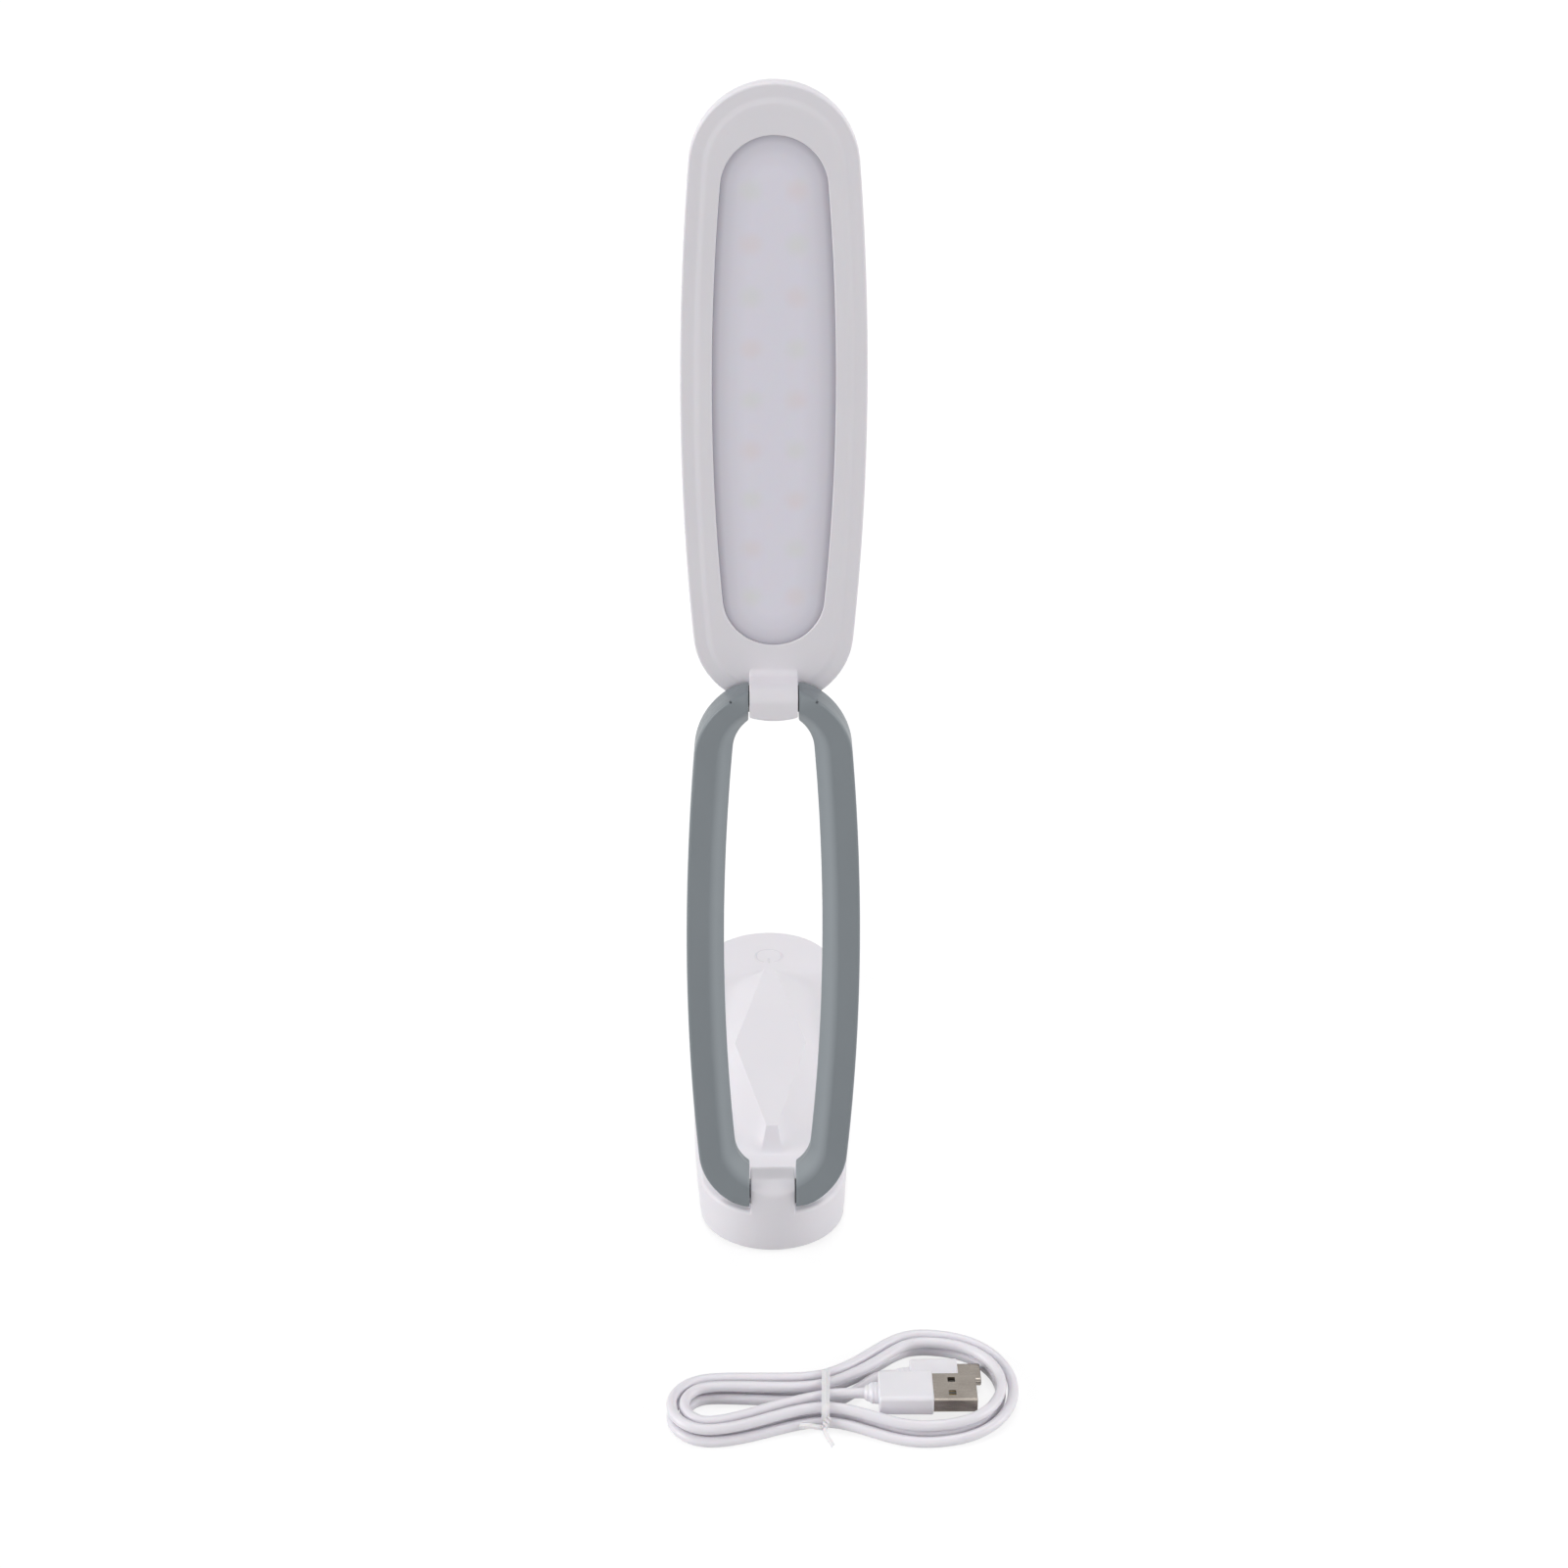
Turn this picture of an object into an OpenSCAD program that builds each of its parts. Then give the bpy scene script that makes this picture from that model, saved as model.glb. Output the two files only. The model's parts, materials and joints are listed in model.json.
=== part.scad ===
// Folding rechargeable desk lamp: a base, an open ring arm and a light head.
// The three are equal ovals that fold flat on each other about two hinges.
// X is the width, Y runs to the back and Z is up from the table, in millimetres.

/* [Panels] */
// Length of each of the three ovals
panel_l = 174; // [150:1:210]
// Width of each oval at its middle
panel_w = 50; // [46:1:60]
// Radius of the round ends of an oval
end_r = 22.2; // [20:0.1:22.6]
// How far the open lamp leans back, in degrees
lean = 0; // [0:0.5:8]
// Gap between panels that lie on each other when folded
fold_gap = 0.3; // [0.2:0.05:0.5]

/* [Base] */
// Height of the base top above the table
base_h = 14; // [13:0.5:20]
// Wall of the base shell
base_wall = 1.6; // [1.2:0.1:2.2]
// Radius of the edge round the base top
base_edge = 1.2; // [0.6:0.1:2]
// How far the rubber pad stands out below the bottom cover
pad_step = 0.8; // [0.5:0.1:1.5]
// Height of the diamond boss
boss_h = 7; // [3:0.5:9]
// Length of the flat diamond on the boss
boss_l = 98; // [70:1:104]
// Width of the flat diamond on the boss
boss_w = 23.6; // [14:0.2:24]
// Width of the cut tips of the diamond
boss_tip = 3.6; // [2:0.2:6]
// Length of the oval foot of the boss
boss_foot_l = 111; // [100:1:116]
// Width of the oval foot of the boss
boss_foot_w = 32; // [26:0.5:32]

/* [Arm] */
// Thickness of the ring arm
arm_t = 9.8; // [9.2:0.1:12]
// Width of a limb of the ring
limb_w = 10.75; // [9.5:0.25:12]
// Wall of the arm shells
arm_wall = 1.4; // [1.2:0.1:1.8]
// Width of the sloped band on the inside of a limb
slope_w = 4.4; // [3:0.1:5]
// Depth of the sloped band
slope_d = 3.3; // [2:0.1:3.6]
// How far the opening of the ring is set towards the head
opening_shift = 2.2; // [0:0.1:2.5]

/* [Hinges] */
// Width of the hinge lugs on the base and the head
lug_w = 13.4; // [12:0.2:16.4]
// How far the lug on the base runs back behind its eye
base_lug_run = 4.1; // [1:0.1:5]
// Radius of the nearly square corner of the lug on the head
head_lug_corner = 0.8; // [0.4:0.1:2]
// Gap on each side of a lug, filled by a washer
side_gap = 0.5; // [0.4:0.05:0.8]
// Radius of the hollow hinge pins
pin_r = 2; // [1.6:0.1:2.2]
// Radial running clearance of a pin in a lug
pin_play = 0.05; // [0.02:0.01:0.08]
// Radius of the wire way through a pin
pin_bore = 1.1; // [0.9:0.1:1.2]

/* [Head] */
// Thickness of the head
head_t = 11; // [10:0.5:16]
// Depth of the front frame, down to the seam
frame_d = 3; // [2.6:0.1:4]
// Wall of the head shells
head_wall = 1.5; // [1.2:0.1:2]
// Width of the lowered rim round the head
rim_w = 4.2; // [3:0.1:5.5]
// Depth of the step from the panel to the rim
rim_step = 0.5; // [0.3:0.1:0.8]
// Length of the light opening
light_l = 142; // [120:1:143]
// Width of the light opening
light_w = 33; // [29:0.5:35]
// Radius of the round ends of the light opening
light_r = 14; // [11:0.5:14.2]
// How far the opening lies from the middle of the head, towards the tip
light_shift = 2.7; // [0:0.1:4]
// How far the diffuser sits below the panel
light_sink = 0.5; // [0.3:0.1:0.8]

/* [Lamps] */
// Rows of lamps on the board
led_rows = 9; // [5:1:11]
// Distance between rows
led_pitch = 14.15; // [11:0.05:14.5]
// Distance between the two columns
led_spread = 12; // [9:0.5:14]

/* [Charging lead] */
// Diameter of the lead
cord_d = 3; // [2.6:0.1:3]
// Gap between turns that lie side by side
turn_gap = 0.7; // [0.6:0.05:0.8]

/* [Hidden] */

$fn = 48;
eps = 0.01;

// Hinge axes: one on the base, one between the arm and the head
axis_off = arm_t / 2 + fold_gap;
end_to_axis = arm_t / 2;
reach = panel_l / 2 - end_to_axis;
arm_span = 2 * reach;
base_axis = [0, -reach, base_h + axis_off];

// Heights inside the base
cover_t = 2;
cover_top = pad_step + cover_t;
pad_sunk = 0.6;
weight_t = 2;
battery_t = 5.6;
tape_t = 0.3;
board_t = 1.2;
board_z = cover_top + 2.4;
ceiling = base_h - base_wall;
fit_gap = 0.15;

// Skin of the head's front frame
skin_t = 1.8;

// Places of the parts in the base, from its middle
screw_x = 18;
screw_y = 0.32 * panel_l;
screw_r = 1.05;
screw_head_r = 2.1;
screw_l = 6;
screw_post_r = 3;
board_l = 40;
board_w = 28;
port_depth = 7.3;
port_w = 8.94;
port_h = 3.2;
port_r = 1.55;
port_shell = 0.3;
port_room = 0.2;
board_y = panel_l / 2 - base_wall - fit_gap - port_depth + 1.5 - board_l / 2;
icon_y = 0.4 * panel_l;
port_z = board_z + board_t + 1.65;
battery_l = 60;
battery_w = 34;
battery_y = -12;

// An oval of four arcs that run smoothly into each other. off moves it outward.
END_STEPS = 12;
SIDE_STEPS = 6;
function side_r(l, w, r) = (r + w / 2 + pow(l / 2 - r, 2) / (w / 2 - r)) / 2;
function side_a(l, w, r) = atan((l / 2 - r) / (side_r(l, w, r) - w / 2));
function arc(cx, cy, r, a0, a1, n) =
    [for (i = [0:n - 1]) let(a = a0 + (a1 - a0) * i / n) [cx + r * cos(a), cy + r * sin(a)]];
function oval(l, w, r, off = 0) =
    let(s = side_r(l, w, r), a = side_a(l, w, r), x = s - w / 2, y = l / 2 - r)
    concat(arc(-x, 0, s + off, -a, a, SIDE_STEPS),
           arc(0, y, r + off, a, 180 - a, END_STEPS),
           arc(x, 0, s + off, 180 - a, 180 + a, SIDE_STEPS),
           arc(0, -y, r + off, 180 + a, 360 - a, END_STEPS));
function panel(off = 0) = oval(panel_l, panel_w, end_r, off);
function window(off = 0) = oval(light_l, light_w, light_r, off);
// How far the side of a panel has curved in at a distance y from its middle
function side_sag(y) = let(s = side_r(panel_l, panel_w, end_r)) s - sqrt(s * s - y * y);

// A closed solid through outlines of equally many points, each a list of 3-D points
module loft(rings) {
    n = len(rings[0]);
    last = len(rings) - 1;
    points = [for (ring = rings, p = ring) p];
    sides = [for (k = [0:last - 1], i = [0:n - 1])
        let(a = k * n + i, b = k * n + (i + 1) % n)
        each [[a, b + n, b], [a, a + n, b + n]]];
    polyhedron(points, concat([[for (i = [0:n - 1]) i]], sides,
        [[for (i = [n - 1:-1:0]) last * n + i]]), convexity = 6);
}

// The panel oval stacked at [offset, height] levels, from the bottom up
module panel_stack(levels) {
    loft([for (v = levels) [for (p = panel(v[0])) [p[0], p[1], v[1]]]]);
}

// A bar along X with its middle at the origin
module bar(r, l) {
    rotate([0, 90, 0]) cylinder(r = r, h = l, center = true);
}

// A rectangle with round corners, about the origin
module round_rect(w, h, r) {
    square([w - 2 * r, h], center = true);
    square([w, h - 2 * r], center = true);
    for (x = [-1, 1], y = [-1, 1])
        translate([x * (w / 2 - r), y * (h / 2 - r)]) circle(r);
}

// Frames: each panel is drawn lying, face up, with its hinge lug at the low Y end
module arm_frame() {
    translate(base_axis) rotate([90 - lean, 0, 0]) children();
}
module head_frame() {
    arm_frame() translate([0, arm_span, 0]) children();
}
module head_panel() {
    head_frame() translate([0, reach, -axis_off]) children();
}

// The lug of a panel whose top face is at z = 0: an eye that blends into the face. Children add
// to the section of the eye, about its axis; run is how far they reach towards the middle.
lug_blend = 2;
module lug(root, run) {
    back = end_to_axis + run;
    intersection() {
        translate([-lug_w / 2, -reach, 0]) rotate([90, 0, 90]) linear_extrude(lug_w) {
            translate([0, axis_off]) {
                circle(end_to_axis);
                children();
            }
            translate([-end_to_axis, -root]) square([end_to_axis + back, root + axis_off]);
            difference() {
                translate([0, -root]) square([back + lug_blend, root + lug_blend]);
                translate([back + lug_blend, lug_blend]) circle(lug_blend);
            }
        }
        translate([0, 0, -root]) linear_extrude(root + 2 * axis_off) polygon(panel());
    }
}

// The running bore of a lug and the slanted way for the wire from it into the panel
LUG_WAY = 150;
way_l = (axis_off + skin_t + 0.8) / -cos(LUG_WAY);
module lug_bores() {
    translate([0, -reach, axis_off]) {
        bar(pin_r + pin_play, lug_w + 2);
        rotate([-LUG_WAY, 0, 0]) cylinder(r = pin_bore, h = way_l);
    }
}

// BASE

function diamond(grow) =
    let(x = boss_w / 2 + grow, y = boss_l / 2 + grow, t = boss_tip / 2 + grow / 3)
    [[x, 0], [t, y], [-t, y], [-x, 0], [-t, -y], [t, -y]];

// The flat diamond, and the facets that spread from it to an oval foot
boss_foot_r = 14;
boss_foot_shift = 1.5;
module boss(top, foot, grow) {
    hull() {
        translate([0, 0, top - eps]) linear_extrude(eps) polygon(diamond(grow));
        translate([0, boss_foot_shift, foot]) linear_extrude(eps)
            polygon(oval(boss_foot_l, boss_foot_w, boss_foot_r, grow));
    }
}

module base_screw_places() {
    for (x = [-1, 1], y = [-1, 1]) translate([x * screw_x, y * screw_y, 0]) children();
}

module base_top_shell() {
    round_steps = [0, 30, 60, 90];
    color("whitesmoke") {
        difference() {
            union() {
                panel_stack(concat([[-0.6, pad_step], [0, pad_step + 0.6]],
                    [for (a = round_steps)
                        [-base_edge * (1 - cos(a)), base_h - base_edge * (1 - sin(a))]]));
                boss(base_h + boss_h, base_h - eps, 0);
                translate([0, 0, base_h]) lug(base_wall / 2, base_lug_run) {
                    translate([base_lug_run, 0]) circle(end_to_axis);
                    square([base_lug_run, end_to_axis]);
                }
            }
            linear_extrude(2 * ceiling, center = true) polygon(panel(-base_wall));
            boss(base_h + boss_h - base_wall, ceiling - eps, -base_wall * 0.6);
            translate([0, 0, base_h]) lug_bores();
            translate([0, panel_l / 2, port_z]) rotate([90, 0, 0])
                linear_extrude(4 * base_wall, center = true)
                    round_rect(port_w + 2 * port_room, port_h + 2 * port_room, port_r + port_room);
            translate([pipe_x, panel_l / 2, port_z]) rotate([90, 0, 0])
                cylinder(r = pipe_r + 0.1, h = 12, center = true);
            translate([0, icon_y, base_h - 0.3]) linear_extrude(1) power_mark(0.05);
        }
        base_screw_places() difference() {
            translate([0, 0, cover_top]) cylinder(r = screw_post_r, h = ceiling - cover_top + 0.2);
            translate([0, 0, cover_top - 1]) cylinder(r = screw_r + 0.05, h = screw_l + 1);
        }
    }
}

module base_bottom_cover() {
    color("gainsboro") difference() {
        union() {
            translate([0, 0, pad_step]) linear_extrude(cover_t)
                polygon(panel(-base_wall - fit_gap));
            for (x = [-1, 1], y = [-1, 1])
                translate([x * (board_w / 2 - 3), board_y + y * (board_l / 2 - 5), cover_top - eps])
                    cylinder(r = 2, h = board_z - cover_top + eps);
            for (y = [-1, 1])
                translate([-battery_w / 2, battery_y + y * (battery_l / 2 + 1.6) - 0.6, cover_top - eps])
                    cube([battery_w, 1.2, weight_t + 2]);
        }
        translate([0, 0, pad_step - 1]) linear_extrude(1 + pad_sunk)
            polygon(oval(panel_l - 34, 25, 12, fit_gap));
        base_screw_places() {
            cylinder(r = screw_r + 0.35, h = 10, center = true);
            translate([0, 0, pad_step - 1]) cylinder(r = screw_head_r + 0.3, h = 2);
        }
    }
}

module base_foot_pad() {
    color("dimgray") linear_extrude(pad_step + pad_sunk) polygon(oval(panel_l - 34, 25, 12));
}

module base_screws() {
    color("silver") base_screw_places() difference() {
        union() {
            translate([0, 0, pad_step + 0.15]) cylinder(r = screw_head_r, h = 0.85);
            translate([0, 0, pad_step + 0.9]) cylinder(r = screw_r, h = screw_l);
        }
        translate([0, 0, pad_step]) cross_slot(2.2, 0.5, 0.6);
    }
}

module cross_slot(l, w, d) {
    for (a = [0, 90]) rotate([0, 0, a]) translate([-l / 2, -w / 2, 0]) cube([l, w, d]);
}

module base_weight() {
    color("slategray") translate([0, battery_y, cover_top]) linear_extrude(weight_t)
        round_rect(battery_w, battery_l, 3);
}

module battery_tape() {
    color("seagreen") translate([0, battery_y, cover_top + weight_t]) linear_extrude(tape_t)
        round_rect(battery_w - 8, battery_l - 10, 1);
}

module battery_pack() {
    color("steelblue") translate([0, battery_y, cover_top + weight_t + tape_t]) {
        rotate([90, 0, 0]) translate([0, battery_t / 2, 0])
            linear_extrude(battery_l - 5, center = true) round_rect(battery_w - 2, battery_t, 2);
        translate([-battery_w / 2 + 3, battery_l / 2 - 2.6, battery_t / 2 - 1])
            cube([battery_w - 6, 2.4, 2]);
    }
}

module main_board() {
    color("darkgreen") translate([0, board_y, board_z]) {
        linear_extrude(board_t) round_rect(board_w, board_l, 1);
        translate([-9, -14, board_t - eps]) cube([7, 6, 1.4]);
        translate([2, -15, board_t - eps]) cube([8, 8, 2.6]);
        translate([-11, -2, board_t - eps]) cube([5, 4, 1]);
        translate([6, 0, board_t - eps]) cylinder(r = 2, h = 3);
    }
}

module usb_c_socket() {
    socket_back = panel_l / 2 - 0.5;
    color("silver") translate([0, socket_back, port_z]) rotate([90, 0, 0]) difference() {
        linear_extrude(port_depth) round_rect(port_w, port_h, port_r);
        translate([0, 0, -1]) linear_extrude(port_depth)
            round_rect(port_w - 2 * port_shell, port_h - 2 * port_shell, port_r - port_shell);
    }
    color("black") translate([0, socket_back - port_depth, port_z]) {
        translate([-3.3, 0, -0.35]) cube([6.6, port_depth - 0.6, 0.7]);
    }
}

module touch_electrode() {
    color("goldenrod") translate([0, icon_y, 0]) {
        translate([0, 0, ceiling - 0.4]) cylinder(r = 8, h = 0.4);
        translate([0, 0, board_z + board_t]) cylinder(r = 1.2, h = ceiling - 0.4 - board_z - board_t + eps);
    }
}

// The usual on and off mark: an open circle with a bar in its gap, read from the hinge side
module power_mark(grow) {
    ring_r = 4.6;
    opening = 3.6;
    line = 0.7 + 2 * grow;
    difference() {
        circle(ring_r + line / 2);
        circle(ring_r - line / 2);
        translate([grow - opening / 2, -2 * ring_r]) square([opening - 2 * grow, 2 * ring_r]);
    }
    translate([-line / 2, -1.1 * ring_r - grow]) square([line, 0.75 * ring_r + 2 * grow]);
}

module power_icon() {
    color("lightgray") translate([0, icon_y, base_h - 0.3]) linear_extrude(0.45) power_mark(0);
}

pipe_x = 10;
pipe_r = 1;
pipe_end = panel_l / 2 - end_r + sqrt(pow(end_r, 2) - pow(pipe_x, 2));
module charge_light_pipe() {
    color("white") translate([pipe_x, pipe_end - 0.15, port_z]) rotate([90, 0, 0])
        cylinder(r = pipe_r, h = 4);
}

// The wires leave a lug at a slant, along its wire way
wire_r = 0.8;
function wire_start(run) = [0, -reach + run * sin(LUG_WAY), axis_off + run * cos(LUG_WAY)];

module base_wire() {
    low = cover_top - base_h + 5;
    beside = battery_w / 2 + 3.3;
    path = [wire_start(pin_r + 0.8), wire_start(way_l), [0, 16 - reach, low], [10, 24 - reach, low],
        [beside, battery_y - battery_l / 2 + 2, low], [beside, battery_y + battery_l / 2 - 3, low],
        [10, board_y - board_l / 2 + 2.5, board_z + board_t + wire_r + 0.05 - base_h]];
    color("crimson") translate([0, 0, base_h]) wire(path);
}

module wire(path) {
    loft([for (i = [0:len(path) - 1]) tube_ring(path, i, wire_r, 6)]);
}

// A round bar between two points
module link(a, b, r) {
    d = b - a;
    translate(a) rotate([0, acos(d[2] / norm(d)), atan2(d[1], d[0])]) cylinder(r = r, h = norm(d));
}

// ARM
// A limb is its section carried round the oval. In the section, x is the way in from the
// outer edge and y is the height above the middle of the thickness.

edge_r = 0.8;
seam = 0.15;
inner_z = end_to_axis - slope_d;
limb_section = concat([[seam, 0], [limb_w - seam, 0], [limb_w, seam], [limb_w, inner_z - 0.4],
    [limb_w - 0.5, inner_z + 0.35], [limb_w - slope_w, end_to_axis]],
    [for (b = [90:30:180]) [edge_r * (1 + cos(b)), end_to_axis - edge_r * (1 - sin(b))]],
    [[0, seam]]);
hollow_section = [[arm_wall, -1], [limb_w - arm_wall, -1], [limb_w - arm_wall, inner_z - 0.7],
    [limb_w - slope_w - 0.6, end_to_axis - arm_wall], [arm_wall, end_to_axis - arm_wall]];

// Stations up the right limb, each the centre and radius of its arc and the angle on it
LIMB_STEPS = 8;
END_CENTRE = panel_l / 2 - end_r;
function limb_stations(limit) =
    let(s = side_r(panel_l, panel_w, end_r), a = side_a(panel_l, panel_w, end_r))
    concat([for (i = [0:LIMB_STEPS - 1]) [0, -END_CENTRE, end_r, -limit + (limit - a) * i / LIMB_STEPS]],
           [for (i = [0:SIDE_STEPS - 1]) [panel_w / 2 - s, 0, s, a * (2 * i / SIDE_STEPS - 1)]],
           [for (i = [0:LIMB_STEPS]) [0, END_CENTRE, end_r, a + (limit - a) * i / LIMB_STEPS]]);
function limb_ring(v, section) =
    [for (p = section) [v[0] + (v[2] - p[0]) * cos(v[3]),
        v[1] + (v[2] - p[0]) * sin(v[3]) + opening_shift * p[0] / limb_w, p[1]]];
module limb_loft(limit, section) {
    translate([0, reach, 0]) loft([for (v = limb_stations(limit)) limb_ring(v, section)]);
}

// Post between the parting plane and the wall of a limb, narrower where the wall slopes down
module screw_post(radius) {
    straight = end_to_axis - 1.2 * arm_wall;
    cylinder(r = radius, h = straight);
    translate([0, 0, straight]) cylinder(r1 = radius, r2 = radius - arm_wall, h = arm_wall / 2);
}

// The hollow stops short of both ends, where solid blocks hold the pins
hollow_limit = 60;
module right_limb_half() {
    difference() {
        limb_loft(90, limb_section);
        limb_loft(hollow_limit, hollow_section);
    }
}

// The space an arm may fill so that its ends clear the panels as they turn
module arm_envelope() {
    rotate([90, 0, 90]) linear_extrude(panel_w + 2, center = true) {
        translate([0, -end_to_axis]) square([arm_span, 2 * end_to_axis]);
        circle(end_to_axis);
        translate([arm_span, 0]) circle(end_to_axis);
    }
}

// The screw bosses stand under the flat of the limb, clear of the wire at the outer wall
arm_screw_y = 0.26 * panel_l;
arm_boss_r = 2.6;
arm_screw_r = 0.8;
arm_screw_head_r = 1.8;
arm_screw_x = panel_w / 2 - side_sag(arm_screw_y) - limb_w + arm_wall + arm_boss_r + 0.8;
module arm_screw_places() {
    for (y = [-1, 1]) translate([arm_screw_x, reach + y * arm_screw_y, 0]) children();
}

// Front half of the right limb; side is 1 for the right and -1 for the left
module arm_front(side) {
    mirror([side < 0 ? 1 : 0, 0, 0]) difference() {
        intersection() {
            union() {
                right_limb_half();
                arm_screw_places() screw_post(2.2);
            }
            arm_envelope();
        }
        arm_end_cuts();
        arm_screw_places() translate([0, 0, -1]) cylinder(r = arm_screw_r + 0.05, h = 4.2);
    }
}

module arm_back(side) {
    mirror([side < 0 ? 1 : 0, 0, 0]) difference() {
        intersection() {
            union() {
                mirror([0, 0, 1]) right_limb_half();
                mirror([0, 0, 1]) arm_screw_places() screw_post(arm_boss_r);
            }
            arm_envelope();
        }
        arm_end_cuts();
        arm_screw_places() {
            translate([0, 0, -end_to_axis - 1]) cylinder(r = arm_screw_r + 0.35, h = end_to_axis + 2);
            translate([0, 0, -end_to_axis - 1]) cylinder(r = arm_screw_head_r + 0.15, h = 2.6);
        }
    }
}

// What comes off both ends of a limb: the room for the lug, the pin and the wire's way out
pin_half = lug_w / 2 + side_gap + 3.2;
wire_corner = pin_half + 1;
module arm_end_cuts() {
    room = [lug_w / 2 + side_gap, base_lug_run + end_to_axis + lug_blend + side_gap, 2 * end_to_axis];
    for (end = [-1, 1]) translate([0, end < 0 ? 0 : arm_span, 0]) {
        cube(2 * room, center = true);
        bar(pin_r + 0.02, 2 * pin_half);
        bar(pin_bore, 2 * wire_corner + wire_r);
    }
    link([wire_corner, 0, 0], wire_turn(-1), pin_bore);
    link([wire_corner, arm_span, 0], wire_turn(1), pin_bore);
}

// The wire runs inside the outer wall, up to this angle on the end arcs
wire_limit = 40;
wire_line = [[arm_wall + wire_r + 0.3, 0]];
function on_limb(v) = [0, reach, 0] + limb_ring(v, wire_line)[0];
function wire_turn(end) = on_limb([0, end * END_CENTRE, end_r, end * wire_limit]);

module arm_left_front_shell() {
    color("slategray") arm_frame() arm_front(-1);
}
module arm_left_back_shell() {
    color("slategray") arm_frame() arm_back(-1);
}
module arm_right_front_shell() {
    color("slategray") arm_frame() arm_front(1);
}
module arm_right_back_shell() {
    color("slategray") arm_frame() arm_back(1);
}

module arm_screws() {
    color("silver") arm_frame() for (side = [0, 1]) mirror([side, 0, 0])
        arm_screw_places() difference() {
            union() {
                translate([0, 0, -end_to_axis + 0.4]) cylinder(r = arm_screw_head_r, h = 1.2);
                translate([0, 0, -end_to_axis + 1.5]) cylinder(r = arm_screw_r, h = 6);
            }
            translate([0, 0, -end_to_axis]) cross_slot(2, 0.5, 0.9);
        }
}

module hinge_pin() {
    difference() {
        bar(pin_r, 2 * pin_half - 0.2);
        bar(pin_bore, 2 * pin_half + 2);
        translate([0, 0, -pin_r - 1]) cylinder(r = pin_bore, h = pin_r + 1);
    }
}

module hinge_washers() {
    for (x = [-1, 1]) translate([x * (lug_w / 2 + side_gap / 2), 0, 0]) difference() {
        bar(end_to_axis - 1.2, side_gap - 0.1);
        bar(pin_r + 0.02, side_gap + 1);
    }
}

module base_hinge_pin() {
    color("silver") arm_frame() hinge_pin();
}
module base_hinge_washers() {
    color("dimgray") arm_frame() hinge_washers();
}
module head_hinge_pin() {
    color("silver") head_frame() hinge_pin();
}
module head_hinge_washers() {
    color("dimgray") head_frame() hinge_washers();
}

// The supply wires in the left limb, out of one hollow pin and into the other
module arm_wire() {
    path = concat([[0, 0, 0], [wire_corner, 0, 0]],
        [for (v = limb_stations(wire_limit)) on_limb(v)],
        [[wire_corner, arm_span, 0], [0, arm_span, 0]]);
    color("crimson") arm_frame() mirror([1, 0, 0]) wire(path);
}

// HEAD
// Drawn with its face up at z = 0 and its back at z = -head_t

board_top = -head_t + head_wall + 2.6;
flange_t = 1.2;
tongue_l = 8;
tongue_t = 1;
tongue_h = 3;
tongue_gap = 0.3;
tongue_y = 0.2 * panel_l;
tongue_x = panel_w / 2 - side_sag(tongue_y + tongue_l / 2) - head_wall - tongue_gap - tongue_t / 2;
rail_x = 9;
rail_t = 1.4;
led_board_t = 1;
led_l = 3.5;
led_w = 2.8;
led_h = 0.8;
led_gap = 0.3;

module light_place() {
    translate([0, light_shift, 0]) children();
}

module head_front_frame() {
    color("whitesmoke") head_panel() difference() {
        union() {
            panel_stack([[0, -frame_d], [0, -rim_step - 1], [-0.3, -rim_step - 0.3], [-1, -rim_step],
                [0.5 - rim_w, -rim_step], [0.15 - rim_w, -rim_step * 0.7],
                [-0.3 - rim_w, -rim_step * 0.2], [-0.8 - rim_w, 0]]);
            lug(skin_t / 2, 0) translate([-end_to_axis / 2, end_to_axis / 2])
                round_rect(end_to_axis, end_to_axis, head_lug_corner);
        }
        translate([0, 0, -frame_d - 1]) linear_extrude(frame_d + 1 - skin_t)
            polygon(panel(-head_wall));
        light_place() linear_extrude(3 * frame_d, center = true) polygon(window());
        lug_bores();
    }
}

function back_levels(inset) = [
    [-14 - inset, -head_t + inset], [-9.5 - inset, -head_t + 0.15 + inset],
    [-5.5 - inset, -head_t + 0.8 + inset], [-2.7 - inset, -head_t + 2.1 + inset],
    [-0.9 - inset, -head_t + 4.2 + inset * 0.6], [-inset, -head_t + 6.6]];

module head_back_cover() {
    color("whitesmoke") head_panel() {
        difference() {
            panel_stack(concat(back_levels(0), [[0, -frame_d]]));
            panel_stack(concat(back_levels(head_wall), [[-head_wall, -frame_d + 1]]));
        }
        // Rails that carry the lamp board, and tongues that snap behind the front frame
        rail_h = board_top - led_board_t + head_t - head_wall;
        light_place() for (x = [-1, 1])
            translate([x * rail_x, 0, board_top - led_board_t - rail_h / 2])
                cube([rail_t, light_l - 24, rail_h], center = true);
        for (x = [-1, 1], y = [-1, 1]) translate([x * tongue_x, y * tongue_y, -frame_d - 1])
            cube([tongue_t, tongue_l, tongue_h], center = true);
    }
}

module diffuser() {
    color("white") head_panel() light_place() {
        translate([0, 0, -skin_t - flange_t]) linear_extrude(flange_t) polygon(window(1.6));
        loft([for (v = [[-0.2, -skin_t - eps], [-0.2, -light_sink - 0.4], [-0.7, -light_sink - 0.15],
                        [-3, -light_sink], [-7, -light_sink + 0.1]])
            [for (p = window(v[0])) [p[0], p[1], v[1]]]]);
    }
}

module led_board() {
    color("ivory") head_panel() light_place() translate([0, 0, board_top - led_board_t])
        linear_extrude(led_board_t) polygon(window(-2.5));
}

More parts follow.
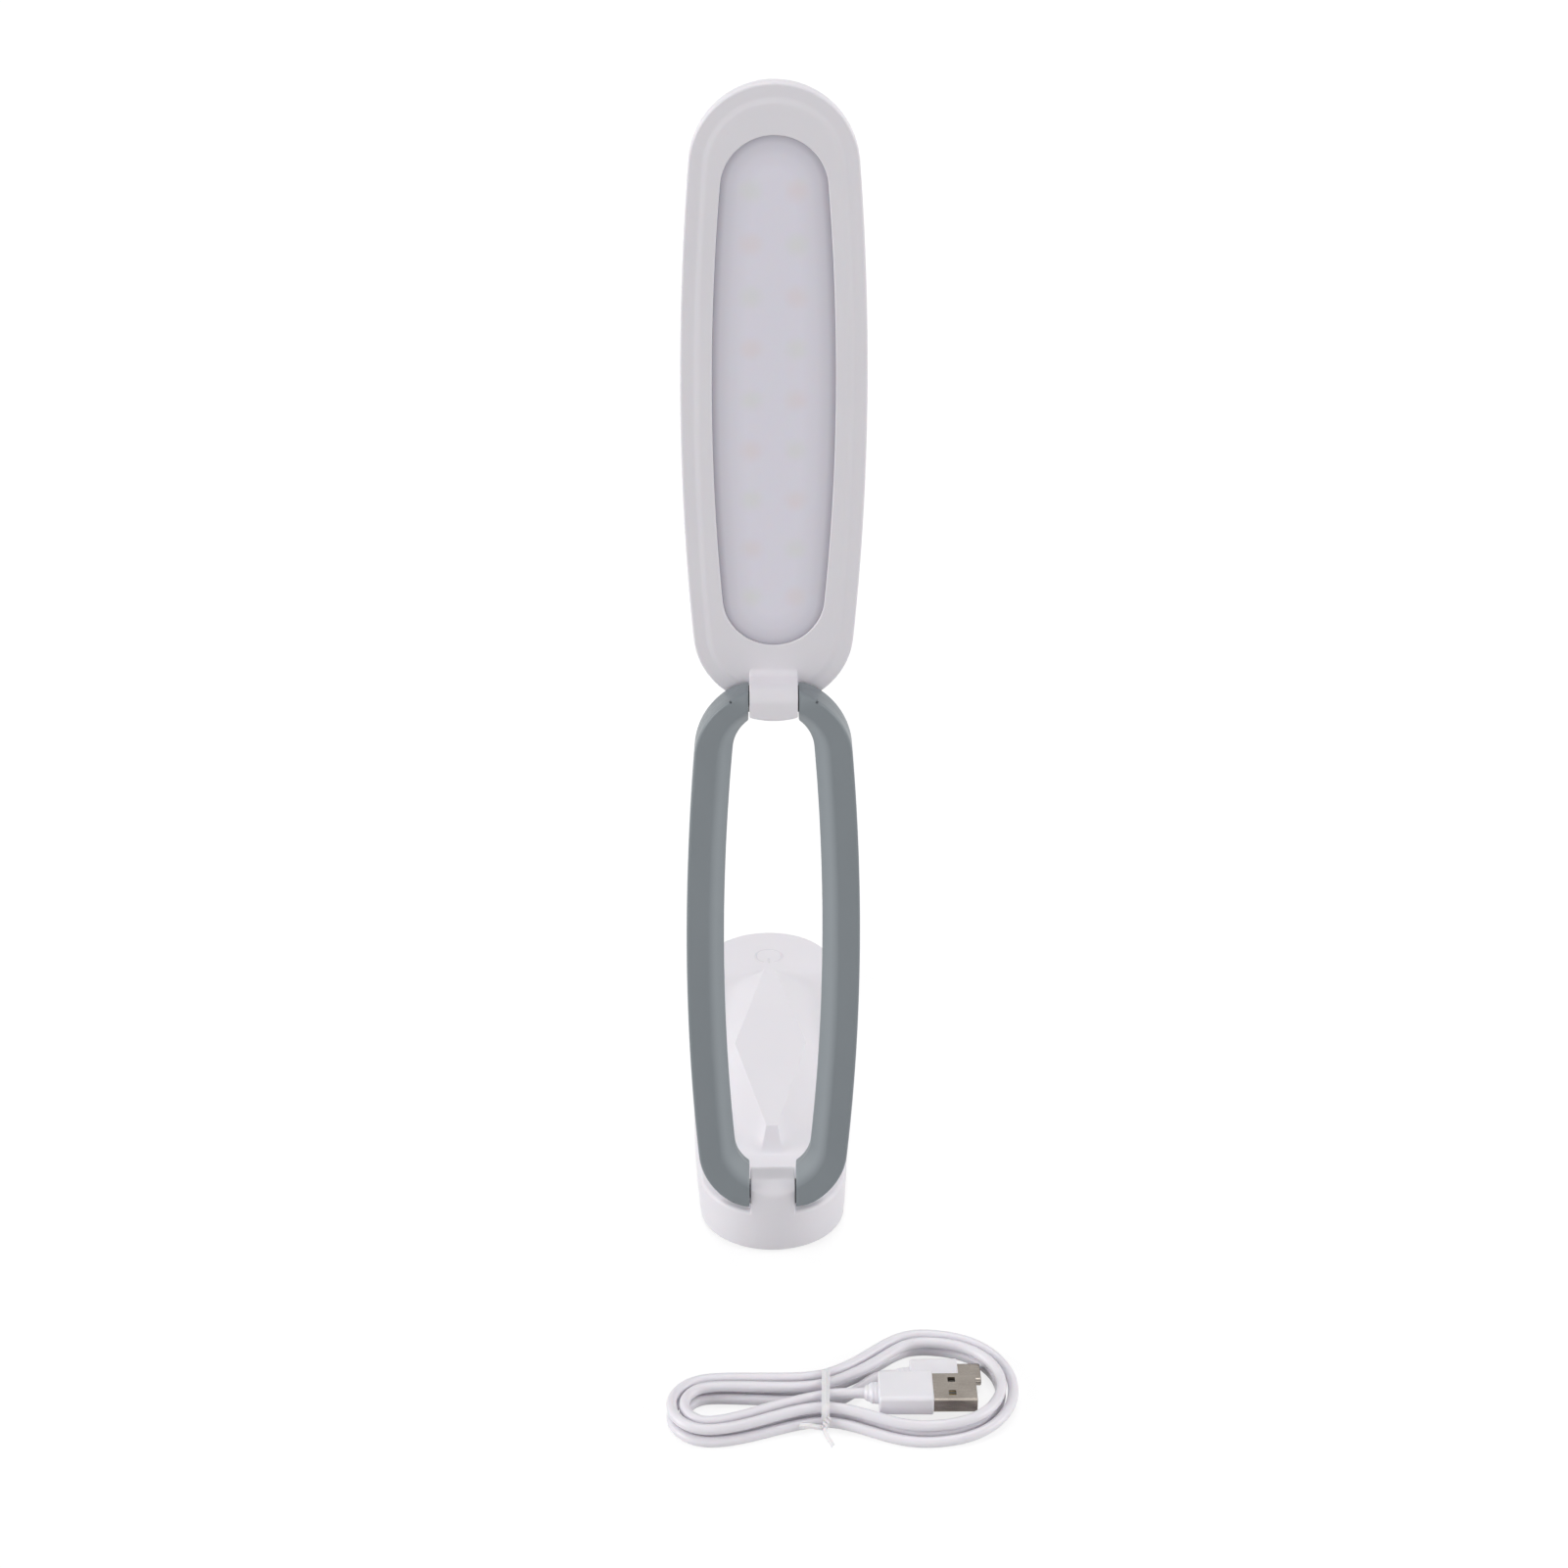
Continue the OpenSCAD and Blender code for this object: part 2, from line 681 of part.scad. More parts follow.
function led_place(row, col) = [(col - 0.5) * led_spread, (row - (led_rows - 1) / 2) * led_pitch];
module led_windows(kind) {
    light_place() for (row = [0:led_rows - 1], col = [0, 1])
        if (kind < 0 || (row + col) % 2 == kind) translate(led_place(row, col)) children();
}

module reflector_sheet() {
    color("white") head_panel() translate([0, 0, board_top]) linear_extrude(0.3) difference() {
        light_place() polygon(window(-3));
        led_windows(-1) square([led_w + 2 * led_gap, led_l + 2 * led_gap], center = true);
    }
}

module led_package() {
    translate([0, 0, board_top]) difference() {
        linear_extrude(led_h) square([led_w, led_l], center = true);
        translate([0, 0, led_h - 0.25]) cylinder(r = 0.4 * led_w, h = 1);
    }
}
module leds_warm() {
    color("moccasin") head_panel() led_windows(1) led_package();
}
module leds_cool() {
    color("honeydew") head_panel() led_windows(0) led_package();
}

module head_wire() {
    light_end = light_shift - light_l / 2;
    path = [wire_start(pin_r + 0.8), wire_start(way_l), [0, light_end - 4.5, -skin_t - flange_t - 1.5],
        [0, light_end + 5, board_top + 1.3]];
    color("crimson") head_panel() wire(path);
}

// CHARGING LEAD
// A tied hank in front of the base, both plugs pointing right. Each half loop is a run out of
// the waist, a round end and a run back. Its turns lie in two layers: the upper one winds out
// from the type A plug, and the lower one winds in to the type C plug.

hank_at = [14.6, -161.6];
run_left = 32.5;
run_right = 31.1;
loop_left = 13.5;
loop_right = 22.6;
sway_left = -4.5;
sway_right = 5.2;
fan_left = 1;
fan_right = 1.37;
cord_turns = 3.5;
cord_pitch = cord_d + turn_gap;
waist_step = cord_pitch + 0.6;
waist_half = 30;
layer_step = cord_d + 0.6;
ground_z = cord_d / 2 + 0.05;
tie_lift = 0.6;
tie_half = 12;
reversal = cord_turns / 2 + 0.25;
waist = cord_d / 2 + 0.25 + (reversal - 0.5) * waist_step;
RINGS_PER_TURN = 24;

// t counts turns. A turn starts at the waist on the near side and takes the left half first.
function ease(u) = u * u * (3 - 2 * u);
function on_right(t) = (t + 0.75) % 1 >= 0.5;
function outline(t) =
    let(right = on_right(t), u = 2 * ((t + 0.75) % 0.5), way = right ? 1 : -1,
        run = right ? run_right : run_left, r = right ? loop_right : loop_left,
        sway = right ? sway_right : sway_left, fan = right ? fan_right : fan_left,
        q = 4 * min(u, 1 - u), e = ease(min(1, fan * q)), b = 360 * (u - 0.25))
    q < 1 ? [way * run * q, way * (u < 0.5 ? 1 : -1) * (waist + (r - waist) * e) + sway * e]
          : [way * (run + r * sin(b)), way * r * cos(b) + sway];
function heading(t) = unit(outline(t + 0.002) - outline(t - 0.002));
function layer(t) = layer_step * min(1, max(0, 5 * (reversal - t) + 0.5));
function hank_point(t) =
    let(p = outline(t), h = heading(t), near = max(0, 1 - abs(p[0]) / waist_half),
        inset = (cord_pitch + (waist_step - cord_pitch) * near) * abs(t - reversal))
    [hank_at[0] + p[0] + inset * h[1], hank_at[1] + p[1] - inset * h[0],
     ground_z + layer(t) + tie_lift * max(0, 1 - abs(p[0]) / tie_half)];
turns = [for (i = [0:RINGS_PER_TURN * cord_turns]) hank_point(0.25 + i / RINGS_PER_TURN)];

// Both leads leave the tie in a smooth S and end straight
plug_a = [24.9, -162.4, ground_z + layer_step + 1.05];
plug_c = [34.4, -150.1, 2.75];
function lead(from, to, n) = [for (i = [1:n]) let(u = i / n, v = ease(u))
    [from[0] + (to[0] - from[0]) * u, from[1] + (to[1] - from[1]) * v, from[2] + (to[2] - from[2]) * v]];
end_run = [cord_d, 0, 0];
start_c = turns[len(turns) - 1] + [1.6, 0, 0];
lead_a = lead(turns[0], plug_a - end_run, 3);
lead_c = concat([start_c], lead(start_c, plug_c - end_run, 6));
route = concat([plug_a], [for (i = [len(lead_a) - 1:-1:0]) lead_a[i]], turns, lead_c, [plug_c]);

function unit(v) = v / norm(v);
function along(path, i) = unit(path[min(i + 1, len(path) - 1)] - path[max(i - 1, 0)]);
// A ring of points round the path, square to it, with one point straight up
function tube_ring(path, i, r, sides) =
    let(t = along(path, i), side = unit(cross(t, [0, 0, 1])), up = cross(side, t))
    [for (k = [0:sides - 1]) let(a = 360 * k / sides) path[i] + r * (cos(a) * up + sin(a) * side)];

// Length of the lead, and the least gap between stretches that are not neighbours, on points
// spaced at a quarter of the rings' spacing
function path_length(path) =
    let(steps = [for (i = [1:len(path) - 1]) norm(path[i] - path[i - 1])]) steps * [for (s = steps) 1];
fine = [for (i = [0:len(route) - 2], k = [0:3]) route[i] + (route[i + 1] - route[i]) * k / 4];
apart = 24;
gaps = [for (i = [0:len(fine) - 1 - apart]) min([for (j = [i + apart:len(fine) - 1])
    norm(fine[i] - fine[j])])];
echo(lead_length = path_length(route), least_gap = min(gaps) - cord_d);

module lead_hank() {
    color("gainsboro") loft([for (i = [0:len(route) - 1]) tube_ring(route, i, cord_d / 2, 6)]);
}

// A tapered sleeve that starts on the lead and ends in the overmold
module strain_relief(l, r1, r2) {
    rotate([0, 90, 0]) cylinder(r1 = r1, r2 = r2, h = l);
    for (x = [0.25, 0.55, 0.85]) translate([x * l, 0, 0]) rotate([0, 90, 0])
        cylinder(r = r2, h = 0.12 * l);
}

module plug_bar(l, w, h, r) {
    rotate([90, 0, 90]) linear_extrude(l) round_rect(w, h, r);
}

relief_l = 4;
a_over = [15.2, 13, 6.2];
a_metal = [12.2, 12, 4.5];
c_over = [13.5, 10.4, 5.2];
c_metal = [6.5, 8.25, 2.4];

module usb_a_strain_relief() {
    color("white") translate(plug_a) strain_relief(relief_l, 2.1, 2.7);
}
module usb_a_overmold() {
    color("white") translate(plug_a + [relief_l, 0, 0]) plug_bar(a_over[0], a_over[1], a_over[2], 1.4);
}
module usb_a_shell() {
    color("silver") translate(plug_a + [relief_l + a_over[0], 0, 0]) difference() {
        plug_bar(a_metal[0], a_metal[1], a_metal[2], 0.4);
        translate([0.6, 0, 0]) plug_bar(a_metal[0], a_metal[1] - 0.7, a_metal[2] - 0.7, 0.1);
        for (y = [-1, 1]) translate([5.3, y * 2.9, 0]) cube([2.1, 2.1, 8], center = true);
    }
}
module usb_a_insert() {
    color("white") translate(plug_a + [relief_l + a_over[0] + 0.6, 0, -0.95])
        translate([0, -5.6, -0.9]) cube([a_metal[0] - 1.1, 11.2, 1.8]);
}
module usb_c_strain_relief() {
    color("white") translate(plug_c) strain_relief(relief_l, 1.9, 2.3);
}
module usb_c_overmold() {
    color("white") translate(plug_c + [relief_l, 0, 0]) plug_bar(c_over[0], c_over[1], c_over[2], 2.2);
}
module usb_c_shell() {
    color("silver") translate(plug_c + [relief_l + c_over[0], 0, 0]) difference() {
        plug_bar(c_metal[0], c_metal[1], c_metal[2], 1.15);
        translate([0.8, 0, 0]) plug_bar(c_metal[0], c_metal[1] - 0.6, c_metal[2] - 0.6, 0.85);
    }
}

// A flat wire tie round the waist of the hank, twisted together at the front
module twist_tie() {
    strip = 0.5;
    strip_w = 2;
    wide = 2 * (waist - 0.25 * waist_step) + cord_d + 1.2;
    high = layer_step + cord_d + 0.6;
    corner = 1.8;
    knot = hank_at + [0.1, -wide / 2 - strip - 0.4];
    twist = [knot[0], knot[1], 3.4];
    fork = twist + [-1.4, -2.6, -0.6];
    color("white") {
        translate([hank_at[0] - 0.75 * strip_w, hank_at[1], 0.05 + strip + high / 2])
            rotate([90, 0, 90]) linear_extrude(strip_w) difference() {
                round_rect(wide + 2 * strip, high + 2 * strip, corner + strip);
                round_rect(wide, high, corner);
            }
        translate(twist) sphere(1.1);
        link(twist, fork, 0.8);
        link(fork, fork + [-7, 1.4, -1.2], 0.4);
        link(fork, fork + [2.6, -5.8, -2], 0.4);
    }
}

base_top_shell();
base_bottom_cover();
base_foot_pad();
base_screws();
base_weight();
battery_pack();
battery_tape();
main_board();
usb_c_socket();
touch_electrode();
power_icon();
charge_light_pipe();
base_wire();
arm_left_front_shell();
arm_left_back_shell();
arm_right_front_shell();
arm_right_back_shell();
arm_screws();
base_hinge_pin();
base_hinge_washers();
head_hinge_pin();
head_hinge_washers();
arm_wire();
head_front_frame();
head_back_cover();
diffuser();
reflector_sheet();
led_board();
leds_warm();
leds_cool();
head_wire();
lead_hank();
usb_a_strain_relief();
usb_a_overmold();
usb_a_shell();
usb_a_insert();
usb_c_strain_relief();
usb_c_overmold();
usb_c_shell();
twist_tie();
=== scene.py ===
import json
import math

import bmesh
import bpy
from mathutils import Matrix, Vector


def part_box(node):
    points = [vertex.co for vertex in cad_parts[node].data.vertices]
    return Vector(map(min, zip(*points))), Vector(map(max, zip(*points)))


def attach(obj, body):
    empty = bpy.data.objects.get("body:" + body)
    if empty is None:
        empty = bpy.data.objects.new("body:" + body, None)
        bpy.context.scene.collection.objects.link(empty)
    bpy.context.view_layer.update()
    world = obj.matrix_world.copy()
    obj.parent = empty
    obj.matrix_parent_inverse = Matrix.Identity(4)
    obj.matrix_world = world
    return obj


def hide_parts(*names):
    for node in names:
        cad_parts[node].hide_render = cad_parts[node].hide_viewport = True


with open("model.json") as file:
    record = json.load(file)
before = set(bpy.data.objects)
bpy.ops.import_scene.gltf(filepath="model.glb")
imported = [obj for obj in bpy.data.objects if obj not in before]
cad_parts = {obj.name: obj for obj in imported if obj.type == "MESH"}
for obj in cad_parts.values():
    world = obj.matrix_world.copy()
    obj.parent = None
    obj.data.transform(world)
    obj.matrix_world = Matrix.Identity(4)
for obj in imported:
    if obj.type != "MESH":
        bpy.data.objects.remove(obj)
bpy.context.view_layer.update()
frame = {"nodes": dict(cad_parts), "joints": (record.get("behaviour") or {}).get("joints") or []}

# Studio. The lamp stands on a white table that runs on as its own background, as in a catalogue.
# A soft box stands at each side, the left one a little stronger, a third hangs above towards the
# back, and a weak one stands in front. The camera looks down at the lamp from just above its head.
MM = 0.001
CAMERA_AT = (-0.00757, -0.81487, 0.52195)
CAMERA_TILT = 63.518
CAMERA_YAW = -0.824
CAMERA_ROLL = 0.197
FOCAL_LENGTH = 66.73
SENSOR_WIDTH = 36


def linear(code):
    """Turns an sRGB hex colour into the linear values that a shader takes."""
    parts = [int(code[i:i + 2], 16) / 255 for i in (1, 3, 5)]
    return [p / 12.92 if p < 0.04045 else ((p + 0.055) / 1.055) ** 2.4 for p in parts] + [1]


def add(tree, kind, inputs=None, **settings):
    """Adds a node with its settings. An input that is given a socket is linked to it."""
    made = tree.nodes.new("ShaderNode" + kind)
    for name, value in settings.items():
        setattr(made, name, value)
    for key, value in (inputs or {}).items():
        if isinstance(value, bpy.types.NodeSocket):
            tree.links.new(value, made.inputs[key])
        else:
            made.inputs[key].default_value = value
    return made


def seen_directly(tree):
    """1 for rays from the camera, or by way of a reflection or through glass, and 0 for light."""
    path = add(tree, "LightPath")
    shiny = add(tree, "Math", {0: path.outputs["Is Glossy Ray"],
                1: path.outputs["Is Transmission Ray"]}, operation="MAXIMUM")
    return add(tree, "Math", {0: path.outputs["Is Camera Ray"],
               1: shiny.outputs[0]}, operation="MAXIMUM").outputs[0]


camera = bpy.data.objects.new("camera", bpy.data.cameras.new("camera"))
camera.matrix_world = (Matrix.Translation(CAMERA_AT)
                       @ Matrix.Rotation(math.radians(CAMERA_YAW), 4, "Z")
                       @ Matrix.Rotation(math.radians(CAMERA_TILT), 4, "X")
                       @ Matrix.Rotation(math.radians(CAMERA_ROLL), 4, "Z"))
camera.data.lens = FOCAL_LENGTH
camera.data.sensor_width = SENSOR_WIDTH
camera.data.clip_end = 60
bpy.context.scene.collection.objects.link(camera)
bpy.context.scene.camera = camera
bpy.context.scene.view_settings.view_transform = "Standard"

ROOM_LIGHT = 0.26
room = bpy.data.worlds.new("studio_room")
room.use_nodes = True
room.node_tree.nodes.clear()
dim = add(room.node_tree, "Background", {"Color": (1, 1, 1, 1), "Strength": ROOM_LIGHT})
white = add(room.node_tree, "Background", {"Color": (1, 1, 1, 1), "Strength": 1})
both = add(room.node_tree, "MixShader",
           {0: seen_directly(room.node_tree), 1: dim.outputs[0], 2: white.outputs[0]})
add(room.node_tree, "OutputWorld", {"Surface": both.outputs[0]})
bpy.context.scene.world = room


def soft_box(name, azimuth, elevation, level):
    """A wide lamp seen from the lamp's foot at an azimuth from the camera's side."""
    turn, rise = math.radians(azimuth), math.radians(elevation)
    towards = Vector((math.sin(turn) * math.cos(rise), -math.cos(turn) * math.cos(rise),
                      math.sin(rise)))
    light = bpy.data.lights.new(name, "SUN")
    light.energy = math.pi * level
    light.angle = math.radians(36)
    lamp = bpy.data.objects.new(name, light)
    lamp.rotation_euler = towards.to_track_quat("Z", "Y").to_euler()
    bpy.context.scene.collection.objects.link(lamp)


soft_box("soft_box_left", -80, 20, 0.55)
soft_box("soft_box_right", 80, 20, 0.43)
soft_box("soft_box_above", 180, 70, 0.29)
soft_box("soft_box_front", 0, 10, 0.17)

# The table bounces a plain pale light. To the eye it is white, with a faint shadow of the lamp.
table = bpy.data.materials.new("white_table")
table.use_nodes = True
table.node_tree.nodes.clear()
bounce = add(table.node_tree, "BsdfDiffuse", {"Color": (0.6, 0.6, 0.6, 1)})
shadow = add(table.node_tree, "BsdfDiffuse", {"Color": (0.3, 0.3, 0.3, 1)})
glow = add(table.node_tree, "Emission", {"Color": (1, 1, 1, 1), "Strength": 0.78})
shown = add(table.node_tree, "AddShader", {0: shadow.outputs[0], 1: glow.outputs[0]})
both = add(table.node_tree, "MixShader",
           {0: seen_directly(table.node_tree), 1: bounce.outputs[0], 2: shown.outputs[0]})
add(table.node_tree, "OutputMaterial", {"Surface": both.outputs[0]})
TABLE_HALF = 14
mesh = bpy.data.meshes.new("table")
mesh.from_pydata([(-TABLE_HALF, -TABLE_HALF, 0), (TABLE_HALF, -TABLE_HALF, 0),
                  (TABLE_HALF, TABLE_HALF, 0), (-TABLE_HALF, TABLE_HALF, 0)], [], [(0, 1, 2, 3)])
mesh.materials.append(table)
floor = bpy.data.objects.new("table", mesh)
bpy.context.scene.collection.objects.link(floor)


# Charging lead: 3 mm cable with a soft white PVC jacket, wound into a flat hank whose turns lie in
# two layers, and tied at its waist. The upper layer winds out from the type A plug, and the
# lower one winds in again to the type C plug.
CORD = 3.0
GAP = 0.7
HANK_AT = (14.6, -161.6)
RUN = {"left": 32.5, "right": 31.1}
LOOP = {"left": 13.5, "right": 22.6}
SWAY = {"left": -4.5, "right": 5.2}
FAN = {"left": 1, "right": 1.37}
TURN_COUNT = 3.5
PITCH = CORD + GAP
WAIST_STEP = PITCH + 0.6
WAIST_HALF = 30
LAYER = CORD + 0.6
GROUND = CORD / 2 + 0.05
TIE_LIFT = 0.6
TIE_HALF = 12
REVERSAL = TURN_COUNT / 2 + 0.25
WAIST = CORD / 2 + 0.25 + (REVERSAL - 0.5) * WAIST_STEP
POINTS_PER_TURN = 24
PLUG_A = (24.9, -162.4, GROUND + LAYER + 1.05)
PLUG_C = (34.4, -150.1, 2.75)


def ease(u):
    return u * u * (3 - 2 * u)


def outline(t):
    """The hank's middle line at t turns: a run out of the waist, a round end and a run back."""
    half = "right" if (t + 0.75) % 1 >= 0.5 else "left"
    way = 1 if half == "right" else -1
    u = 2 * ((t + 0.75) % 0.5)
    q = 4 * min(u, 1 - u)
    if q < 1:
        spread = ease(min(1, FAN[half] * q))
        side = way if u < 0.5 else -way
        wide = WAIST + (LOOP[half] - WAIST) * spread
        return Vector((way * RUN[half] * q, side * wide + SWAY[half] * spread))
    b = 2 * math.pi * (u - 0.25)
    return Vector((way * (RUN[half] + LOOP[half] * math.sin(b)),
                   way * LOOP[half] * math.cos(b) + SWAY[half]))


def hank_point(t):
    place = outline(t)
    ahead = (outline(t + 0.002) - outline(t - 0.002)).normalized()
    near = max(0, 1 - abs(place.x) / WAIST_HALF)
    inset = (PITCH + (WAIST_STEP - PITCH) * near) * abs(t - REVERSAL)
    layer = LAYER * min(1, max(0, 5 * (REVERSAL - t) + 0.5))
    lift = TIE_LIFT * max(0, 1 - abs(place.x) / TIE_HALF)
    return Vector((HANK_AT[0] + place.x + inset * ahead.y, HANK_AT[1] + place.y - inset * ahead.x,
                   GROUND + layer + lift))


def lead_to(start, end, count):
    """A smooth S from one point to another, without the first."""
    shares = [i / count for i in range(1, count + 1)]
    return [Vector((start[0] + (end[0] - start[0]) * u, start[1] + (end[1] - start[1]) * ease(u),
                    start[2] + (end[2] - start[2]) * ease(u))) for u in shares]


def smooth_line(points, steps):
    """A cubic spline that is drawn by its points and ends in its first and last one."""
    drawn = [2 * points[0] - points[1], *points, 2 * points[-1] - points[-2]]
    line = []
    for a, b, c, d in zip(drawn, drawn[1:], drawn[2:], drawn[3:]):
        for u in [i / steps for i in range(steps)]:
            line.append((a * (1 - u) ** 3 + b * (3 * u ** 3 - 6 * u ** 2 + 4)
                         + c * (3 * u ** 2 - 3 * u ** 3 + 3 * u + 1) + d * u ** 3) / 6)
    return line + [points[-1]]


turns = [hank_point(0.25 + i / POINTS_PER_TURN)
         for i in range(round(POINTS_PER_TURN * TURN_COUNT) + 1)]
plug_a, plug_c, end_run = Vector(PLUG_A), Vector(PLUG_C), Vector((CORD, 0, 0))
start_c = turns[-1] + Vector((1.6, 0, 0))
lead_a = lead_to(turns[0], plug_a - end_run, 3)
lead_c = [start_c] + lead_to(start_c, plug_c - end_run, 6)
route = smooth_line([plug_a, *reversed(lead_a), *turns, *lead_c, plug_c], 6)


def sweep(path, section, up=(0, 0, 1), closed=False):
    """Rings of a section carried along a path without twist. The section is a list of (across,
    up) or a function of the share of the path that gives one."""
    up, count, rings = Vector(up), len(path), []
    for i, point in enumerate(path):
        before = path[(i - 1) % count if closed else max(i - 1, 0)]
        after = path[(i + 1) % count if closed else min(i + 1, count - 1)]
        ahead = (Vector(after) - Vector(before)).normalized()
        up = (up - ahead * up.dot(ahead)).normalized()
        side = ahead.cross(up)
        outline_here = section(i / (count - 1)) if callable(section) else section
        rings.append([Vector(point) + side * a + up * b for a, b in outline_here])
    return rings


def circle(radius, sides):
    steps = [2 * math.pi * i / sides for i in range(sides)]
    return [(radius * math.cos(a), radius * math.sin(a)) for a in steps]


def solid(name, rings, joined=False, place=Matrix()):
    """A closed mesh through rings of equally many points in millimetres. It is capped at both
    ends, or its last ring joins its first."""
    drawn = bmesh.new()
    rows = [[drawn.verts.new(place @ (MM * Vector(point))) for point in ring] for ring in rings]
    steps = list(zip(rows, rows[1:])) + ([(rows[-1], rows[0])] if joined else [])
    for low, high in steps:
        for i in range(len(low)):
            j = (i + 1) % len(low)
            drawn.faces.new((low[i], low[j], high[j], high[i]))
    if not joined:
        drawn.faces.new(rows[0])
        drawn.faces.new(rows[-1])
    bmesh.ops.remove_doubles(drawn, verts=drawn.verts, dist=1e-7)
    bmesh.ops.recalc_face_normals(drawn, faces=drawn.faces)
    made = bpy.data.objects.new(name, bpy.data.meshes.new(name))
    drawn.to_mesh(made.data)
    drawn.free()
    bpy.context.scene.collection.objects.link(made)
    return made


def fit_out(piece, material, body, slot, *nodes, crease=32):
    """Gives a piece its finish, smooth shading with creases, its body and the node it replaces."""
    piece.data.materials.clear()
    piece.data.materials.append(material)
    for face in piece.data.polygons:
        face.use_smooth = True
        face.material_index = 0
    piece.data.set_sharp_from_angle(angle=math.radians(crease))
    weighted = piece.modifiers.new("even_shading", "WEIGHTED_NORMAL")
    weighted.keep_sharp = True
    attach(piece, body)
    if nodes:
        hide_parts(*nodes)
    return piece


def new_material(name):
    """An empty material, its tree and the place on the piece that its patterns are laid by."""
    made = bpy.data.materials.new(name)
    made.use_nodes = True
    made.node_tree.nodes.clear()
    return made, made.node_tree, add(made.node_tree, "TexCoord").outputs["Object"]


def per_metre(millimetres):
    """Scale of a noise whose features are about this far apart."""
    return 1 / (millimetres * MM)


# PVC is soft and slightly glossy, with a faint ripple from its extrusion and a breath of
# handling dust. The ripple of 0.1 mm is drawn at 0.5 mm so that it shows.
pvc, tree, where = new_material("extruded_pvc_white")
dust = add(tree, "TexNoise", {"Vector": where, "Scale": per_metre(14), "Detail": 3})
tint = add(tree, "Mix", {0: dust.outputs["Fac"], 6: linear("#e9e6ed"),
                         7: linear("#f3f0f5")}, data_type="RGBA")
ripple = add(tree, "TexNoise", {"Vector": where, "Scale": per_metre(0.5), "Detail": 2})
bump = add(tree, "Bump", {"Height": ripple.outputs["Fac"], "Strength": 0.12, "Distance": 0.1 * MM})
gloss = add(tree, "MapRange", {"Value": dust.outputs["Fac"], "To Min": 0.3, "To Max": 0.42})
surface = add(tree, "BsdfPrincipled", {
    "Base Color": tint.outputs[2], "Roughness": gloss.outputs[0], "IOR": 1.53,
    "Normal": bump.outputs[0], "Subsurface Weight": 0.08, "Subsurface Scale": 0.8 * MM})
add(tree, "OutputMaterial", {"Surface": surface.outputs[0]})

jacket = solid("lead_jacket", sweep(route, circle(CORD / 2, 16)))
fit_out(jacket, pvc, "base", "lead_jacket", "lead_hank")


# Plugs: each is a metal shell in a block of white PVC that is moulded over it and over the end of
# the jacket, with a short ribbed sleeve that saves the cable from kinking.
def rounded(width, height, corner, steps=5):
    """Outline of a rectangle with round corners, about its middle."""
    spots = []
    for quarter, (x, y) in enumerate([(1, 1), (-1, 1), (-1, -1), (1, -1)]):
        for i in range(steps + 1):
            a = math.pi / 2 * (quarter + i / steps)
            spots.append((x * (width / 2 - corner) + corner * math.cos(a),
                          y * (height / 2 - corner) + corner * math.sin(a)))
    return spots


def along_x(at, levels):
    """Rings square to X: each level is a distance from at and an outline in Y and Z."""
    return [[Vector((at[0] + x, at[1] + a, at[2] + b)) for a, b in ring] for x, ring in levels]


def moulded_block(name, at, size, corner, edge=0.6):
    """A plug body whose ends have a rolled edge, slightly narrower at the cable's end."""
    length, width, height = size
    levels = []
    for share, taper in [(i / 4, 0) for i in range(5)] + [(1 - i / 4, 1) for i in range(5)]:
        a = share * math.pi / 2
        inset = edge * (1 - math.sin(a))
        x = edge * (1 - math.cos(a)) if not taper else length - edge * (1 - math.cos(a))
        draft = 0.15 * (1 - x / length)
        levels.append((x, rounded(width - 2 * inset - draft, height - 2 * inset - draft,
                                  max(0.3, corner - inset))))
    return solid(name, along_x(at, levels))


def ribbed_sleeve(name, at, length, thin, wide, high, ribs=3):
    """A sleeve that widens from the jacket to the block, with grooves between its ribs."""
    levels, groove = [], 0.32
    steps = ribs * 8
    for i in range(steps + 1):
        u = i / steps
        ripple = groove * (0.5 + 0.5 * math.cos(2 * math.pi * ribs * u)) * (u < 0.97)
        w = thin + (wide - thin) * min(1, 1.7 * u) - ripple
        h = thin + (high - thin) * min(1, 1.7 * u) - ripple
        levels.append((length * u, rounded(w, h, min(w, h) * 0.42)))
    return solid(name, along_x(at, levels))


sleeve_length = (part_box("usb_a_strain_relief")[1].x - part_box("usb_a_strain_relief")[0].x) / MM
sleeve_a = ribbed_sleeve("plug_a_sleeve", PLUG_A, sleeve_length, thin=3.5, wide=6.4, high=5.0)
sleeve_c = ribbed_sleeve("plug_c_sleeve", PLUG_C, sleeve_length, thin=3.4, wide=4.5, high=4.1)
BLOCK_A = (15.2, 13, 6.2)
BLOCK_C = (13.5, 10.4, 5.2)
past_sleeve = Vector((sleeve_length, 0, 0))
block_a = moulded_block("plug_a_block", plug_a + past_sleeve, BLOCK_A, corner=1.1)
block_c = moulded_block("plug_c_block", plug_c + past_sleeve, BLOCK_C, corner=1.8)

# PVC again, with a fine satin texture from the mould that is a little deeper than the jacket's
# ripple. Its grain of 0.1 mm is drawn at 0.4 mm.
block_pvc, tree, where = new_material("moulded_pvc_white")
cloud = add(tree, "TexNoise", {"Vector": where, "Scale": per_metre(9), "Detail": 2})
tint = add(tree, "Mix", {0: cloud.outputs["Fac"], 6: linear("#eceaf0"),
                         7: linear("#f6f4f8")}, data_type="RGBA")
grain = add(tree, "TexNoise", {"Vector": where, "Scale": per_metre(0.4), "Detail": 3})
bump = add(tree, "Bump", {"Height": grain.outputs["Fac"], "Strength": 0.15, "Distance": 0.1 * MM})
surface = add(tree, "BsdfPrincipled", {
    "Base Color": tint.outputs[2], "Roughness": 0.38, "IOR": 1.53, "Normal": bump.outputs[0],
    "Subsurface Weight": 0.08, "Subsurface Scale": 0.8 * MM})
